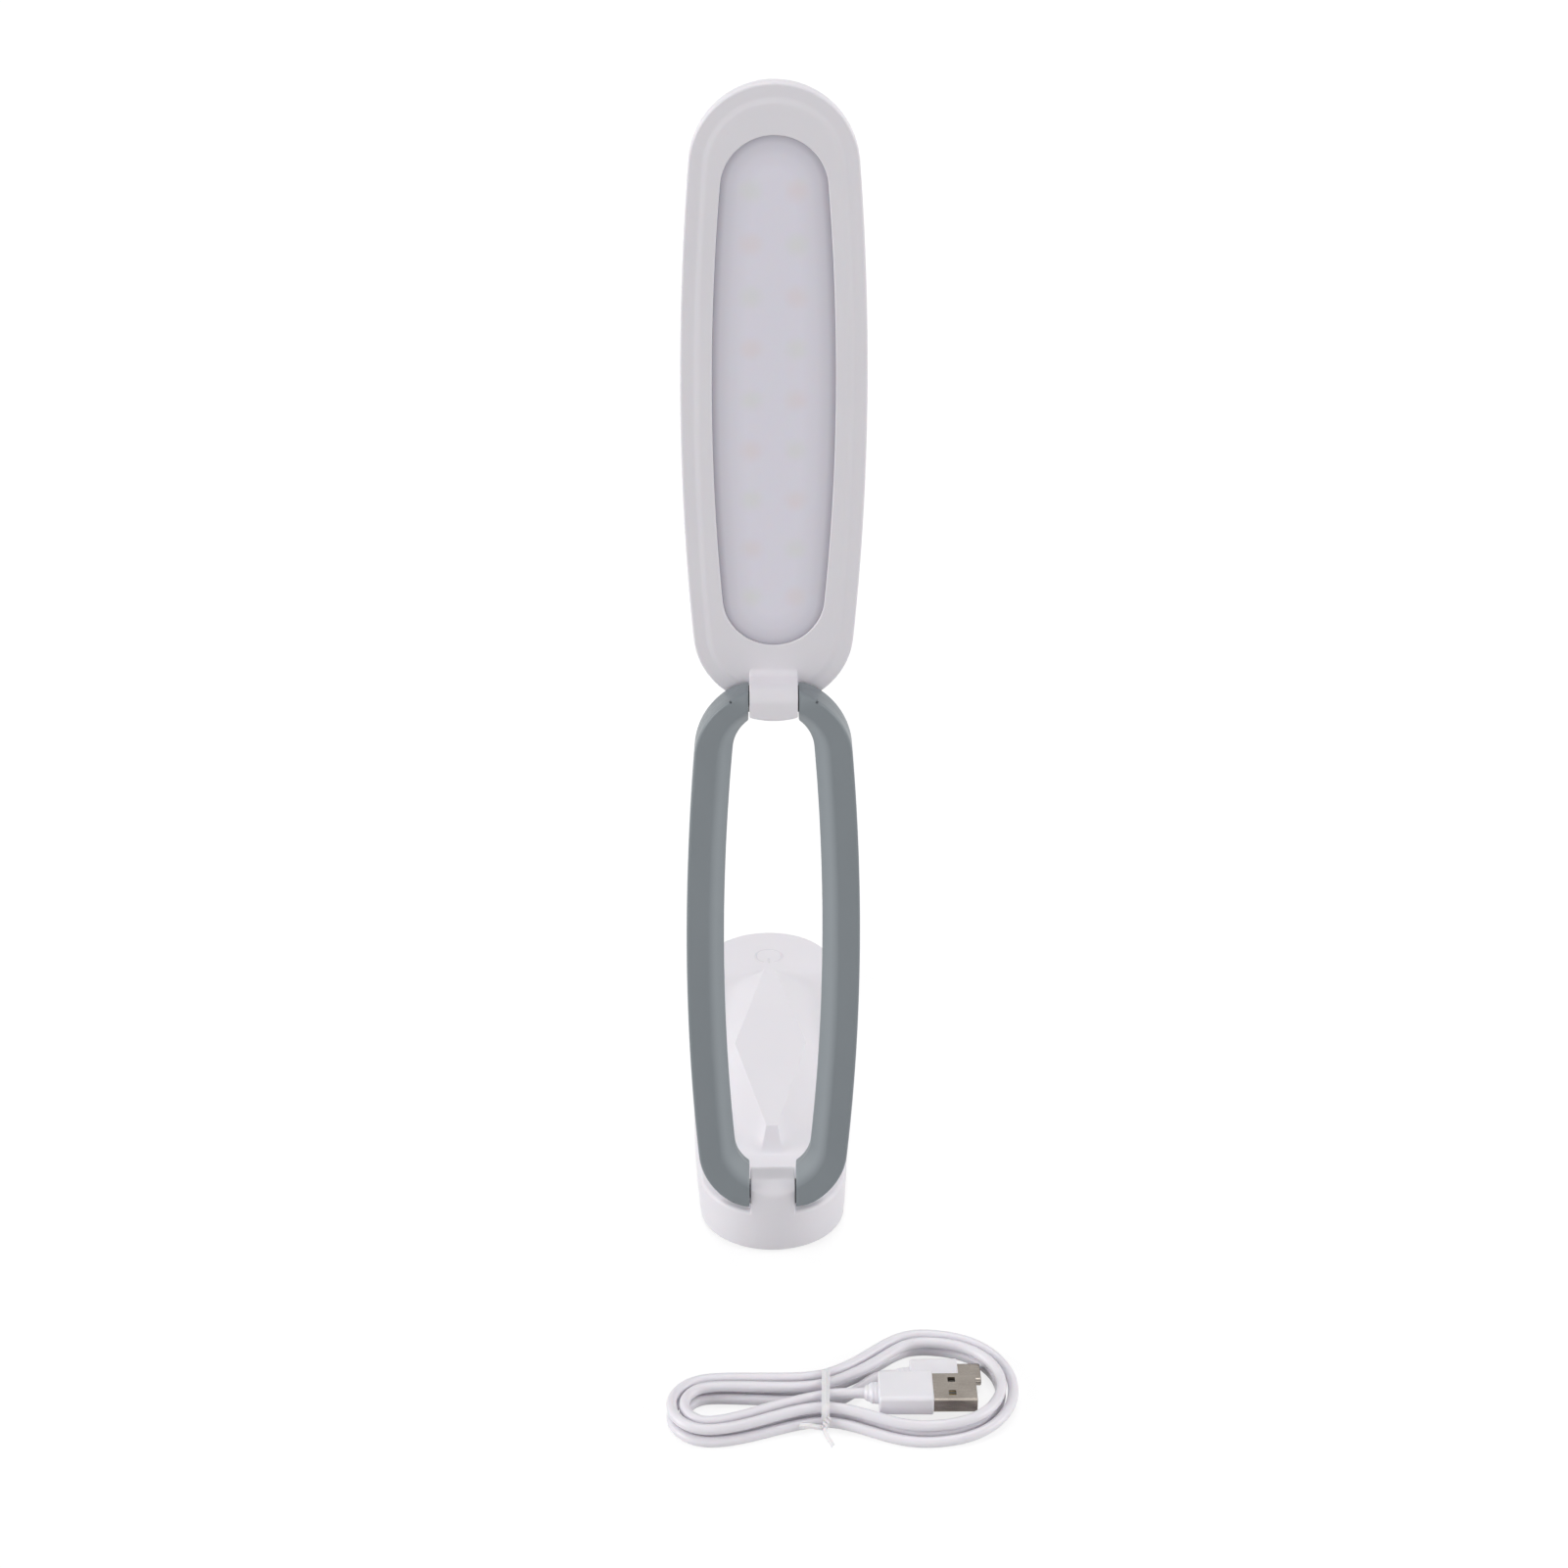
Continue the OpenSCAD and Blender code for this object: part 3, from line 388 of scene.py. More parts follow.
add(tree, "OutputMaterial", {"Surface": surface.outputs[0]})
for piece, node in ((sleeve_a, "usb_a_strain_relief"), (sleeve_c, "usb_c_strain_relief"),
                    (block_a, "usb_a_overmold"), (block_c, "usb_c_overmold")):
    fit_out(piece, block_pvc, "base", "plug_body", node)


def metal_sleeve(name, at, size, corner, wall, floor_t, place=Matrix()):
    """A drawn metal shell, open at its mouth, whose lip is slightly rolled."""
    length, width, height = size
    levels = [(0, 0.1), (0.1, 0), (length - 0.25, 0), (length - 0.07, 0.07), (length, wall / 2),
              (length - 0.07, wall - 0.07), (length - 0.3, wall), (floor_t, wall)]
    rings = [(x, rounded(width - 2 * s, height - 2 * s, max(0.12, corner - s))) for x, s in levels]
    return solid(name, along_x(at, rings), place=place)


def carve(piece, tool, operation="DIFFERENCE"):
    """Cuts a tool out of a piece or joins it on, and takes the tool away."""
    change = piece.modifiers.new("carve", "BOOLEAN")
    change.operation, change.solver, change.object = operation, "MANIFOLD", tool
    graph = bpy.context.evaluated_depsgraph_get()
    result = bpy.data.meshes.new_from_object(piece.evaluated_get(graph))
    piece.modifiers.clear()
    piece.data = result
    bpy.data.objects.remove(tool)
    return piece


METAL_A = (12.2, 12, 4.5)
METAL_C = (6.5, 8.25, 2.4)
metal_a_at = plug_a + Vector((sleeve_length + BLOCK_A[0], 0, 0))
metal_c_at = plug_c + Vector((sleeve_length + BLOCK_C[0], 0, 0))
shell_a = metal_sleeve("plug_a_shell", metal_a_at, METAL_A, corner=0.5, wall=0.35, floor_t=0.6)
shell_c = metal_sleeve("plug_c_shell", metal_c_at, METAL_C, corner=1.15, wall=0.3, floor_t=0.8)
HOLE = 2.1
HOLE_AT = 5.3
HOLE_SPREAD = 2.9
for side in (-1, 1):
    middle = metal_a_at + Vector((HOLE_AT, side * HOLE_SPREAD, 0))
    hole = [[middle + Vector((a, b, z)) for a, b in rounded(HOLE, HOLE, 0.25)] for z in (-4, 4)]
    carve(shell_a, solid("hole", hole))

# Nickel plate on drawn steel: a warm grey mirror, blurred by fine lines along the draw. They are
# 0.02 mm apart on the real shell and drawn at 0.25 mm.
nickel, tree, where = new_material("drawn_steel_nickel_plated")
stretch = add(tree, "Mapping", {"Vector": where, "Scale": (0.06, 1, 1)})
lines = add(tree, "TexNoise", {"Vector": stretch.outputs[0], "Scale": per_metre(0.25), "Detail": 4})
stain = add(tree, "TexNoise", {"Vector": where, "Scale": per_metre(5), "Detail": 3})
tint = add(tree, "Mix", {0: stain.outputs["Fac"], 6: linear("#837c75"),
                         7: linear("#a39c94")}, data_type="RGBA")
gloss = add(tree, "MapRange", {"Value": lines.outputs["Fac"], "To Min": 0.16, "To Max": 0.34})
bump = add(tree, "Bump", {"Height": lines.outputs["Fac"], "Strength": 0.1, "Distance": 0.05 * MM})
surface = add(tree, "BsdfPrincipled", {
    "Base Color": tint.outputs[2], "Metallic": 1, "Roughness": gloss.outputs[0],
    "Normal": bump.outputs[0]})
add(tree, "OutputMaterial", {"Surface": surface.outputs[0]})
fit_out(shell_a, nickel, "base", "plug_metal", "usb_a_shell")
fit_out(shell_c, nickel, "base", "plug_metal", "usb_c_shell")

# The tongue of the type A plug: a white strip with four contacts in grooves along its upper face
tongue_low, tongue_high = [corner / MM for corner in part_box("usb_a_insert")]
tongue_edge = 0.25
tongue_length = tongue_high.x - tongue_low.x
tongue_levels = [(0, tongue_edge), (tongue_edge, 0), (tongue_length - tongue_edge, 0),
                 (tongue_length, tongue_edge)]
tongue_at = Vector((tongue_low.x, (tongue_low.y + tongue_high.y) / 2,
                    (tongue_low.z + tongue_high.z) / 2))
tongue_size = (tongue_high.y - tongue_low.y, tongue_high.z - tongue_low.z)
tongue = solid("plug_a_tongue", along_x(tongue_at, [
    (x, rounded(tongue_size[0] - 2 * s, tongue_size[1] - 2 * s, 0.2)) for x, s in tongue_levels]))
CONTACT_PITCH = 2.2
GROOVE_WIDTH, GROOVE_LENGTH = 1.2, 9
CONTACT_WIDTH, CONTACT_LENGTH = 0.96, 7.4
contacts = None
for i in range(4):
    across = tongue_at.y + (i - 1.5) * CONTACT_PITCH
    groove_at = Vector((tongue_low.x + 3, across, tongue_high.z))
    groove = along_x(groove_at, [(x, rounded(GROOVE_WIDTH, 0.5, 0.05)) for x in (0, GROOVE_LENGTH)])
    carve(tongue, solid("groove", groove))
    strip_at = groove_at + Vector((0.1, 0, -0.2))
    strip = solid("plug_a_contacts", along_x(strip_at, [
        (x, rounded(CONTACT_WIDTH - 2 * s, 0.16 - s, 0.03))
        for x, s in ((0, 0), (CONTACT_LENGTH - 0.3, 0), (CONTACT_LENGTH, 0.05))]))
    contacts = strip if contacts is None else carve(contacts, strip, "UNION")

# PBT with glass fibre: more neutral and glossier than the block round it
pbt, tree, where = new_material("moulded_pbt_white")
fibres = add(tree, "TexNoise", {"Vector": where, "Scale": per_metre(0.6), "Detail": 3})
tint = add(tree, "Mix", {0: fibres.outputs["Fac"], 6: linear("#e6e6e6"),
                         7: linear("#f2f2f0")}, data_type="RGBA")
surface = add(tree, "BsdfPrincipled", {"Base Color": tint.outputs[2], "Roughness": 0.32,
                                       "IOR": 1.57})
add(tree, "OutputMaterial", {"Surface": surface.outputs[0]})
fit_out(tongue, pbt, "base", "plug_insert", "usb_a_insert")

# Gold flash on the contacts, slightly dulled by plugging in
gold, tree, where = new_material("gold_plated_contact")
rub = add(tree, "TexNoise", {"Vector": where, "Scale": per_metre(0.8), "Detail": 3})
tint = add(tree, "Mix", {0: rub.outputs["Fac"], 6: linear("#c9a24e"),
                         7: linear("#e0bd6c")}, data_type="RGBA")
gloss = add(tree, "MapRange", {"Value": rub.outputs["Fac"], "To Min": 0.2, "To Max": 0.4})
surface = add(tree, "BsdfPrincipled", {"Base Color": tint.outputs[2], "Metallic": 1,
                                       "Roughness": gloss.outputs[0]})
add(tree, "OutputMaterial", {"Surface": surface.outputs[0]})
fit_out(contacts, gold, "base", "plug_metal")


# Twist tie: a 2.3 mm strip of white plastic with an iron wire in its middle. It goes once round the
# waist of the hank, its ends are twisted together in front, and they stand off to the left and to
# the front.
TIE_WIDTH = 2.3
TIE_CORE = 0.27
TIE_SKIN = 0.1
loop_wide = 2 * (WAIST - 0.25 * WAIST_STEP) + CORD + 1.7
loop_high = LAYER + CORD + 1.1
loop_middle = Vector((HANK_AT[0] - 0.5, HANK_AT[1], 0.05 + loop_high / 2))


def strip_outline(width):
    """Section of the strip: thin at its edges, with a round ridge over the wire."""
    half = [(width / 2, 0.6 * TIE_SKIN), (width / 2 - 0.12, TIE_SKIN), (0.36, TIE_SKIN),
            (0.24, 0.8 * TIE_CORE), (0.1, TIE_CORE), (-0.1, TIE_CORE), (-0.24, 0.8 * TIE_CORE),
            (-0.36, TIE_SKIN), (0.12 - width / 2, TIE_SKIN), (-width / 2, 0.6 * TIE_SKIN)]
    return [(a, b) for b, a in half] + [(-a, b) for b, a in reversed(half)]


loop_path = [loop_middle + Vector((0.25 * math.sin(math.pi * a / loop_wide), a, b))
             for a, b in rounded(loop_wide - 2 * TIE_CORE, loop_high - 2 * TIE_CORE, 2.1, 7)]
tie = solid("tie_strip", sweep(loop_path, strip_outline(TIE_WIDTH), up=(1, 0, 0), closed=True),
            joined=True)
knot_start = Vector((HANK_AT[0] + 0.1, HANK_AT[1] - loop_wide / 2 + 0.5, 3.9))
knot_end = knot_start + Vector((-1.4, -3.0, -1.1))


def twisted(phase):
    """Section of one of the two ends where they wind about each other, by share of the knot."""
    def section(share):
        turn = phase + 1.35 * 2 * math.pi * share
        across, up = (math.cos(turn), math.sin(turn)), (-math.sin(turn), math.cos(turn))
        flat = [(0.48 + 0.41 * math.cos(a), 0.82 * math.sin(a))
                for a in [2 * math.pi * i / 14 for i in range(14)]]
        return [tuple(a * across[k] + b * up[k] for k in (0, 1)) for a, b in flat]
    return section


knot_path = [knot_start.lerp(knot_end, i / 24) for i in range(25)]
for phase in (0, math.pi):
    carve(tie, solid("twist", sweep(knot_path, twisted(phase), up=(1, 0, 0))), "UNION")
TAIL_LEFT = [(0, 0, 0), (-1.6, -0.5, 0.5), (-3.6, 0.1, 0.6), (-5.6, 1.0, -0.1), (-7.6, 1.7, -1.0)]
TAIL_FRONT = [(0, 0, 0), (0.3, -1.5, -0.1), (0.9, -3.0, -0.6), (1.8, -4.4, -1.2), (2.5, -5.5, -1.9)]
for tail, facing in ((TAIL_LEFT, (0, 0.5, 1)), (TAIL_FRONT, (0.7, 0.3, 1))):
    tail_path = smooth_line([knot_end + Vector((0, 0.3, 0)) + Vector(c) for c in tail], 6)
    carve(tie, solid("tail", sweep(tail_path, strip_outline(1.5), up=facing)), "UNION")

# Polyethylene over wire: glossy and a little translucent, with crease marks
tie_skin, tree, where = new_material("extruded_polyethylene_white")
creases = add(tree, "TexNoise", {"Vector": where, "Scale": per_metre(1.2), "Detail": 3})
tint = add(tree, "Mix", {0: creases.outputs["Fac"], 6: linear("#e9e7ea"),
                         7: linear("#f5f4f6")}, data_type="RGBA")
bump = add(tree, "Bump", {"Height": creases.outputs["Fac"], "Strength": 0.25, "Distance": 0.1 * MM})
surface = add(tree, "BsdfPrincipled", {
    "Base Color": tint.outputs[2], "Roughness": 0.3, "IOR": 1.51, "Normal": bump.outputs[0],
    "Subsurface Weight": 0.15, "Subsurface Scale": 0.4 * MM})
add(tree, "OutputMaterial", {"Surface": surface.outputs[0]})
fit_out(tie, tie_skin, "base", "tie_wire", "twist_tie", crease=45)


# Base casing: one moulding of white ABS, an open tray turned over. Its top carries the flat
# diamond whose facets run out to a soft foot, and at the near end the eye of the hinge.
base_low, base_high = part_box("base_top_shell")
hinge = {j["name"]: Vector(j["pos_m"]) / MM for j in frame["joints"]}
PANEL = ((base_high.y - base_low.y) / MM, (base_high.x - base_low.x) / MM, 22.2)
EYE_RADIUS = 4.9
AXIS_HEIGHT = EYE_RADIUS + 0.3
END_CENTRE = PANEL[0] / 2 - PANEL[2]
REACH = PANEL[0] / 2 - EYE_RADIUS
BASE_TOP = hinge["arm_fold"].z - AXIS_HEIGHT
LIP = base_low.z / MM
WALL = 1.6
TOP_EDGE = 1.2


def oval_arcs(size):
    """For an oval of a length, width and end radius: its half flat length, the radius of its
    sides and the turn at which a side meets an end."""
    length, width, radius = size
    middle = length / 2 - radius
    side = (radius + width / 2 + middle ** 2 / (width / 2 - radius)) / 2
    return middle, side, math.atan(middle / (side - width / 2))


def oval_point(size, turn, grow=0.0):
    """Point of the oval that faces the angle turn, moved out by grow."""
    middle, side, meet = oval_arcs(size)
    facing = (math.cos(turn), math.sin(turn))
    if abs(facing[1]) < math.sin(meet):
        centre, radius = (math.copysign(side - size[1] / 2, -facing[0]), 0), side
    else:
        centre, radius = (0, math.copysign(middle, facing[1])), size[2]
    return [c + (radius + grow) * f for c, f in zip(centre, facing)]


DIAMOND = (98, 23.6, 3.6)
BOSS_HEIGHT = 7
FOOT = (111, 32, 14)
FOOT_SHIFT = 1.5
TIP_FOOT = 3.3
FOOT_BLEND = 4.2
tip_turn = math.acos(TIP_FOOT / FOOT[2])
foot_side, foot_meet = oval_arcs(FOOT)[1:]
foot_run = foot_side * foot_meet + FOOT[2] * (tip_turn - foot_meet)

# Turns of one quarter of an oval, close together along its side and round its end
meet = oval_arcs(PANEL)[2]
quarter = sorted([meet * i / 12 for i in range(13)]
                 + [meet + (math.pi / 2 - meet) * i / 24 for i in range(1, 25)]
                 + [foot_meet, tip_turn])
full_turn = (quarter + [math.pi - t for t in reversed(quarter[:-1])]
             + [math.pi + t for t in quarter[1:]]
             + [2 * math.pi - t for t in reversed(quarter[1:-1])])


def boss_lines(turn, inset):
    """The point of the diamond's edge, drawn in by inset, and the point of the foot below it."""
    across, along = math.cos(turn), math.sin(turn)
    q = math.atan2(abs(along), abs(across))
    run = foot_side * min(q, foot_meet) + FOOT[2] * max(0, q - foot_meet)
    share = min(1, run / foot_run)
    x = (DIAMOND[1] / 2 - 1.02 * inset) * (1 - share) + (DIAMOND[2] / 2 - 0.82 * inset) * share
    y = (DIAMOND[0] / 2 - inset) * share
    foot = oval_point(FOOT, q)
    if q > tip_turn:
        x *= math.cos(q) / math.cos(tip_turn)
        foot[1] = oval_point(FOOT, tip_turn)[1]
    left, back = math.copysign(1, across), math.copysign(1, along)
    return (Vector((left * x, back * y, 0)),
            Vector((left * foot[0], back * foot[1] + FOOT_SHIFT, 0)))


def boss_ring(inset, z):
    return [boss_lines(t, inset)[0] + Vector((0, 0, z)) for t in full_turn]


def blend_ring(u):
    """Ring of the hollow blend between the facets at u = 0 and the flat top at u = 1."""
    ring = []
    for turn in full_turn:
        edge, foot = boss_lines(turn, 0)
        run = (edge - foot).length
        soft = min(FOOT_BLEND, 0.5 * run)
        start = foot + (edge - foot) * soft / run + Vector((0, 0, BOSS_HEIGHT * soft / run))
        end = foot + soft * Vector((math.cos(turn), math.sin(turn), 0))
        ring.append(start * (1 - u) ** 2 + foot * 2 * u * (1 - u) + end * u ** 2
                    + Vector((0, 0, BASE_TOP)))
    return ring


def oval_ring(size, grow, z, shift=0.0):
    return [Vector((*oval_point(size, t, grow), z)) + Vector((0, shift, 0)) for t in full_turn]


def rolled(size, outer, z, radius, steps=5):
    """Rings of a rounded edge that leads from a wall up onto a face."""
    turns_here = [math.pi / 2 * i / steps for i in range(steps + 1)]
    return [oval_ring(size, outer - radius * (1 - math.cos(a)), z + radius * math.sin(a))
            for a in turns_here]


ceiling = BASE_TOP - WALL
boss_top = BASE_TOP + BOSS_HEIGHT
casing_rings = [boss_ring(1.5, boss_top - WALL),
                [foot - 1.2 * Vector((math.cos(t), math.sin(t), 0)) + Vector((0, 0, ceiling))
                 for t in full_turn for foot in [boss_lines(t, 0)[1]]],
                oval_ring(PANEL, -WALL - 0.5, ceiling), oval_ring(PANEL, -WALL, ceiling - 0.5),
                oval_ring(PANEL, -WALL, LIP), oval_ring(PANEL, -0.5, LIP),
                oval_ring(PANEL, -0.15, LIP + 0.2), oval_ring(PANEL, 0, LIP + 0.6)]
casing_rings += rolled(PANEL, 0, BASE_TOP - TOP_EDGE, TOP_EDGE)
casing_rings += [blend_ring(u) for u in (1, 0.8, 0.6, 0.4, 0.2, 0)]
casing_rings += [boss_ring(0, boss_top - 0.22), boss_ring(0.12, boss_top - 0.06),
                 boss_ring(0.4, boss_top)]
casing = solid("base_casing", casing_rings)


EYE_BLEND = 2
EYE_ROOT = 1.4


def eye_ring(x, inset, run, corner):
    """Outline of a hinge eye at x across it, from the wall over the eye and into the panel. Its
    axis is at y = 0 and the panel's face at z = 0. The top runs on level by run, and corner is
    the radius of the edge over the wall."""
    front = REACH - END_CENTRE - math.sqrt(PANEL[2] ** 2 - x ** 2) - 0.02 + inset
    radius, blend, foot = EYE_RADIUS - inset, EYE_BLEND + inset, EYE_RADIUS + run + EYE_BLEND
    near = min(corner, radius)
    edge = max(front, -radius) if corner < EYE_RADIUS else -radius
    quarter_turn = [math.pi / 2 * i / 14 for i in range(15)]
    over = [(edge + near - near * math.cos(a), radius - near + near * math.sin(a))
            for a in quarter_turn]
    over += [(run + radius * math.sin(a), radius * math.cos(a)) for a in quarter_turn]
    spots = [(front, -EYE_ROOT)] + [(y, AXIS_HEIGHT + z) for y, z in over]
    spots += [(foot - blend * math.cos(a), EYE_BLEND - blend * math.sin(a))
              for a in [math.pi / 2 * i / 8 for i in range(9)]]
    spots += [(foot, -EYE_ROOT)]
    return [Vector((x, max(y, front), z)) for y, z in spots]


WASHER_OUT = 0.45
LUG_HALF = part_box("base_hinge_washers")[1].x / MM - WASHER_OUT
LUG_EDGE = 0.35


def hinge_eye(run, corner, place):
    """The eye of a panel, set on the panel by its place."""
    sides = [(LUG_HALF - LUG_EDGE * (1 - math.sin(a)), LUG_EDGE * (1 - math.cos(a)))
             for a in (0, 0.5, 1, math.pi / 2)]
    stations = [(-x, s) for x, s in reversed(sides)]
    stations += [(LUG_HALF * i / 5, 0) for i in range(-4, 5)] + sides
    return solid("eye", [eye_ring(x, s, run, corner) for x, s in stations], place=place)


def rod(start, end, radius, place=Matrix(), sides=40):
    """A round bar between two points."""
    upright = (0, 0, 1) if abs((Vector(end) - Vector(start)).normalized().z) < 0.9 else (0, 1, 0)
    return solid("rod", sweep([start, end], circle(radius, sides), up=upright), place=place)


PIN_HOLE = 2.05
base_eye = Matrix.Translation(MM * Vector((0, -REACH, BASE_TOP)))
BASE_EYE_RUN = 4.1
carve(casing, hinge_eye(BASE_EYE_RUN, EYE_RADIUS, base_eye), "UNION")
carve(casing, rod((-9, 0, AXIS_HEIGHT), (9, 0, AXIS_HEIGHT), PIN_HOLE, base_eye))

# Openings in the far wall for the charging socket and the light beside it
socket_low, socket_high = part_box("usb_c_socket")
socket_z = (socket_low.z + socket_high.z) / 2 / MM
PORT_WIDTH, PORT_HEIGHT, PORT_CORNER = 9.3, 3.6, 1.7
port_levels = [(PANEL[0] / 2 - 3, 0), (PANEL[0] / 2 - 0.55, 0), (PANEL[0] / 2 - 0.1, 0.25),
               (PANEL[0] / 2 + 0.3, 0.8)]
carve(casing, solid("port", [
    [Vector((a, y, socket_z + b))
     for a, b in rounded(PORT_WIDTH + 2 * s, PORT_HEIGHT + 2 * s, PORT_CORNER + s)]
    for y, s in port_levels]))
pipe_low, pipe_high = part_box("charge_light_pipe")
pipe_x = (pipe_low.x + pipe_high.x) / 2 / MM
PIPE_HOLE = 1.1
carve(casing, rod((pipe_x, 80, socket_z), (pipe_x, 90, socket_z), PIPE_HOLE))
BASE_SCREW_HEAD = 2.1
COVER_TOP = 2.8
POST = 3
THREAD = 1.1
post_low, post_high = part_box("base_screws")
cover_screws = [(x, y)
                for x in (post_low.x / MM + BASE_SCREW_HEAD, post_high.x / MM - BASE_SCREW_HEAD)
                for y in (post_low.y / MM + BASE_SCREW_HEAD, post_high.y / MM - BASE_SCREW_HEAD)]
for x, y in cover_screws:
    carve(casing, rod((x, y, COVER_TOP), (x, y, ceiling + 0.3), POST), "UNION")
    carve(casing, rod((x, y, COVER_TOP - 1), (x, y, COVER_TOP + 6), THREAD))

# The power mark: a light window pressed into the top, an open ring with a bar in its gap
MARK_AT = 0.4 * PANEL[0]
MARK_RING = 4.6
MARK_LINE = 0.7
MARK_OPENING = 3.6
MARK_LOW, MARK_HIGH = BASE_TOP - 0.3, BASE_TOP + 0.05


def mark_parts(grow, low, high):
    """The ring and the bar of the mark as two lists of rings."""
    half, edge = MARK_LINE / 2 + grow, 0.12
    section = [(-half, low), (-half, high - edge), (edge - half, high), (half - edge, high),
               (half, high - edge), (half, low)]
    gap = math.asin((MARK_OPENING / 2 - grow) / MARK_RING)
    turns_here = [gap + (2 * math.pi - 2 * gap) * i / 48 - math.pi / 2 for i in range(49)]
    ring = [[Vector(((MARK_RING + a) * math.cos(t), MARK_AT + (MARK_RING + a) * math.sin(t), b))
             for a, b in section] for t in turns_here]
    bar_run = (MARK_AT - 1.1 * MARK_RING - grow, MARK_AT - 0.35 * MARK_RING + grow)
    bar = [[Vector((a, y, b)) for a, b in section] for y in bar_run]
    return ring, bar


for part in mark_parts(0.01, MARK_LOW, BASE_TOP + 1):
    carve(casing, solid("mark", part))
mark_ring, mark_bar = mark_parts(0, MARK_LOW, MARK_HIGH)
mark = carve(solid("power_mark", mark_ring), solid("bar", mark_bar), "UNION")

# White ABS from a satin mould: even, faintly lilac, with soft broad highlights. The spark grain
# of 0.05 mm is drawn at 0.35 mm, and slow clouds of tone stand for the flow of the plastic.
abs_white, tree, where = new_material("moulded_abs_white")
flow = add(tree, "TexNoise", {"Vector": where, "Scale": per_metre(45), "Detail": 3})
tint = add(tree, "Mix", {0: flow.outputs["Fac"], 6: linear("#e6e3e9"),
                         7: linear("#edeaef")}, data_type="RGBA")
grain = add(tree, "TexNoise", {"Vector": where, "Scale": per_metre(0.35), "Detail": 4,
                               "Roughness": 0.6})
bump = add(tree, "Bump", {"Height": grain.outputs["Fac"], "Strength": 0.18, "Distance": 0.06 * MM})
gloss = add(tree, "MapRange", {"Value": grain.outputs["Fac"], "To Min": 0.4, "To Max": 0.5})
surface = add(tree, "BsdfPrincipled", {
    "Base Color": tint.outputs[2], "Roughness": gloss.outputs[0], "IOR": 1.53,
    "Normal": bump.outputs[0], "Subsurface Weight": 0.06, "Subsurface Scale": 0.6 * MM})
add(tree, "OutputMaterial", {"Surface": surface.outputs[0]})
fit_out(casing, abs_white, "base", "white_shell", "base_top_shell")

# Milky polycarbonate: a little greyer and glossier than the casing
icon_pc, tree, where = new_material("moulded_polycarbonate_milky")
haze = add(tree, "TexNoise", {"Vector": where, "Scale": per_metre(1.5), "Detail": 2})
tint = add(tree, "Mix", {0: haze.outputs["Fac"], 6: linear("#e4e1e8"),
                         7: linear("#edeaef")}, data_type="RGBA")
surface = add(tree, "BsdfPrincipled", {
    "Base Color": tint.outputs[2], "Roughness": 0.22, "IOR": 1.58, "Subsurface Weight": 0.2,
    "Subsurface Scale": 0.5 * MM})
add(tree, "OutputMaterial", {"Surface": surface.outputs[0]})
fit_out(mark, icon_pc, "base", "icon_clear", "power_icon")


def refinish(node, material):
    """Gives a node of the frame a finish in place of its plain one."""
    shown_node = frame["nodes"][node]
    if not shown_node.material_slots:
        shown_node.data.materials.append(material)
    for slot in shown_node.material_slots:
        slot.material = material


refinish("charge_light_pipe", icon_pc)


# Inside the base: a steel plate against tipping, the lithium cell on foam tape, the charging and
# dimming board with its socket, and the spring pad under the power mark.
def plain_finish(name, low, high, spacing, bump_depth, **surface_values):
    """A finish of clouds between two colours, spacing millimetres apart, on a slight relief."""
    finish, tree, where = new_material(name)
    cloud = add(tree, "TexNoise", {"Vector": where, "Scale": per_metre(spacing), "Detail": 4})
    tint = add(tree, "Mix", {0: cloud.outputs["Fac"], 6: linear(low),
                             7: linear(high)}, data_type="RGBA")
    relief = add(tree, "Bump", {"Height": cloud.outputs["Fac"], "Strength": 0.3,
                                "Distance": bump_depth * MM})
    surface = add(tree, "BsdfPrincipled", {
        "Base Color": tint.outputs[2], "Normal": relief.outputs[0],
        **{key.replace("_", " ").title().replace("Ior", "IOR"): value
           for key, value in surface_values.items()}})
    add(tree, "OutputMaterial", {"Surface": surface.outputs[0]})
    return finish


socket_place = (Matrix.Translation(MM * Vector((0, socket_low.y / MM, socket_z)))
                @ Matrix.Rotation(math.pi / 2, 4, "Z"))
socket_length = (socket_high.y - socket_low.y) / MM
socket_shell = metal_sleeve("socket_shell", Vector(), (socket_length, 8.94, 3.2), corner=1.55,
                            wall=0.3, floor_t=0.3, place=socket_place)
socket_tongue = solid("socket_tongue", along_x(Vector((0.3, 0, 0)), [
    (x, rounded(6.6 - 2 * e, 0.7 - 2 * e, 0.15)) for x, e in ((0, 0), (5.6, 0), (5.8, 0.12))]),
    place=socket_place)
# Stamped steel is bright with fine clouds from its tin plating
tin = plain_finish("stamped_steel_tinned", "#b9b9bb", "#d0d0d2", 1.5, 0.02, metallic=1,
                   roughness=0.28)
lcp = plain_finish("moulded_lcp_black", "#161617", "#202022", 0.8, 0.03, roughness=0.5, ior=1.6)
fit_out(socket_shell, tin, "base", "socket_steel", "usb_c_socket")
fit_out(socket_tongue, lcp, "base", "socket_steel")
# Hot rolled steel: blue-grey with a scale that clouds it
refinish("base_weight", plain_finish("rolled_steel_plate", "#5d6065", "#74777c", 4, 0.05,
                                     metallic=1, roughness=0.5))
# Shrink wrap on the cell: blue, glossy and faintly wrinkled
refinish("battery_pack", plain_finish("shrink_wrap_blue", "#2b4f86", "#33599a", 6, 0.15,
                                      roughness=0.25, ior=1.52))
# Closed foam with adhesive: white and dull
refinish("battery_tape", plain_finish("foam_tape_white", "#d8d8d6", "#e6e6e4", 0.5, 0.1,
                                      roughness=0.8))
# Solder resist over glass fibre: green, with a faint mottle of 0.5 mm from the weave
refinish("main_board", plain_finish("glass_fibre_board_green", "#123f26", "#1a5233", 0.5, 0.03,
                                    roughness=0.35, ior=1.55))
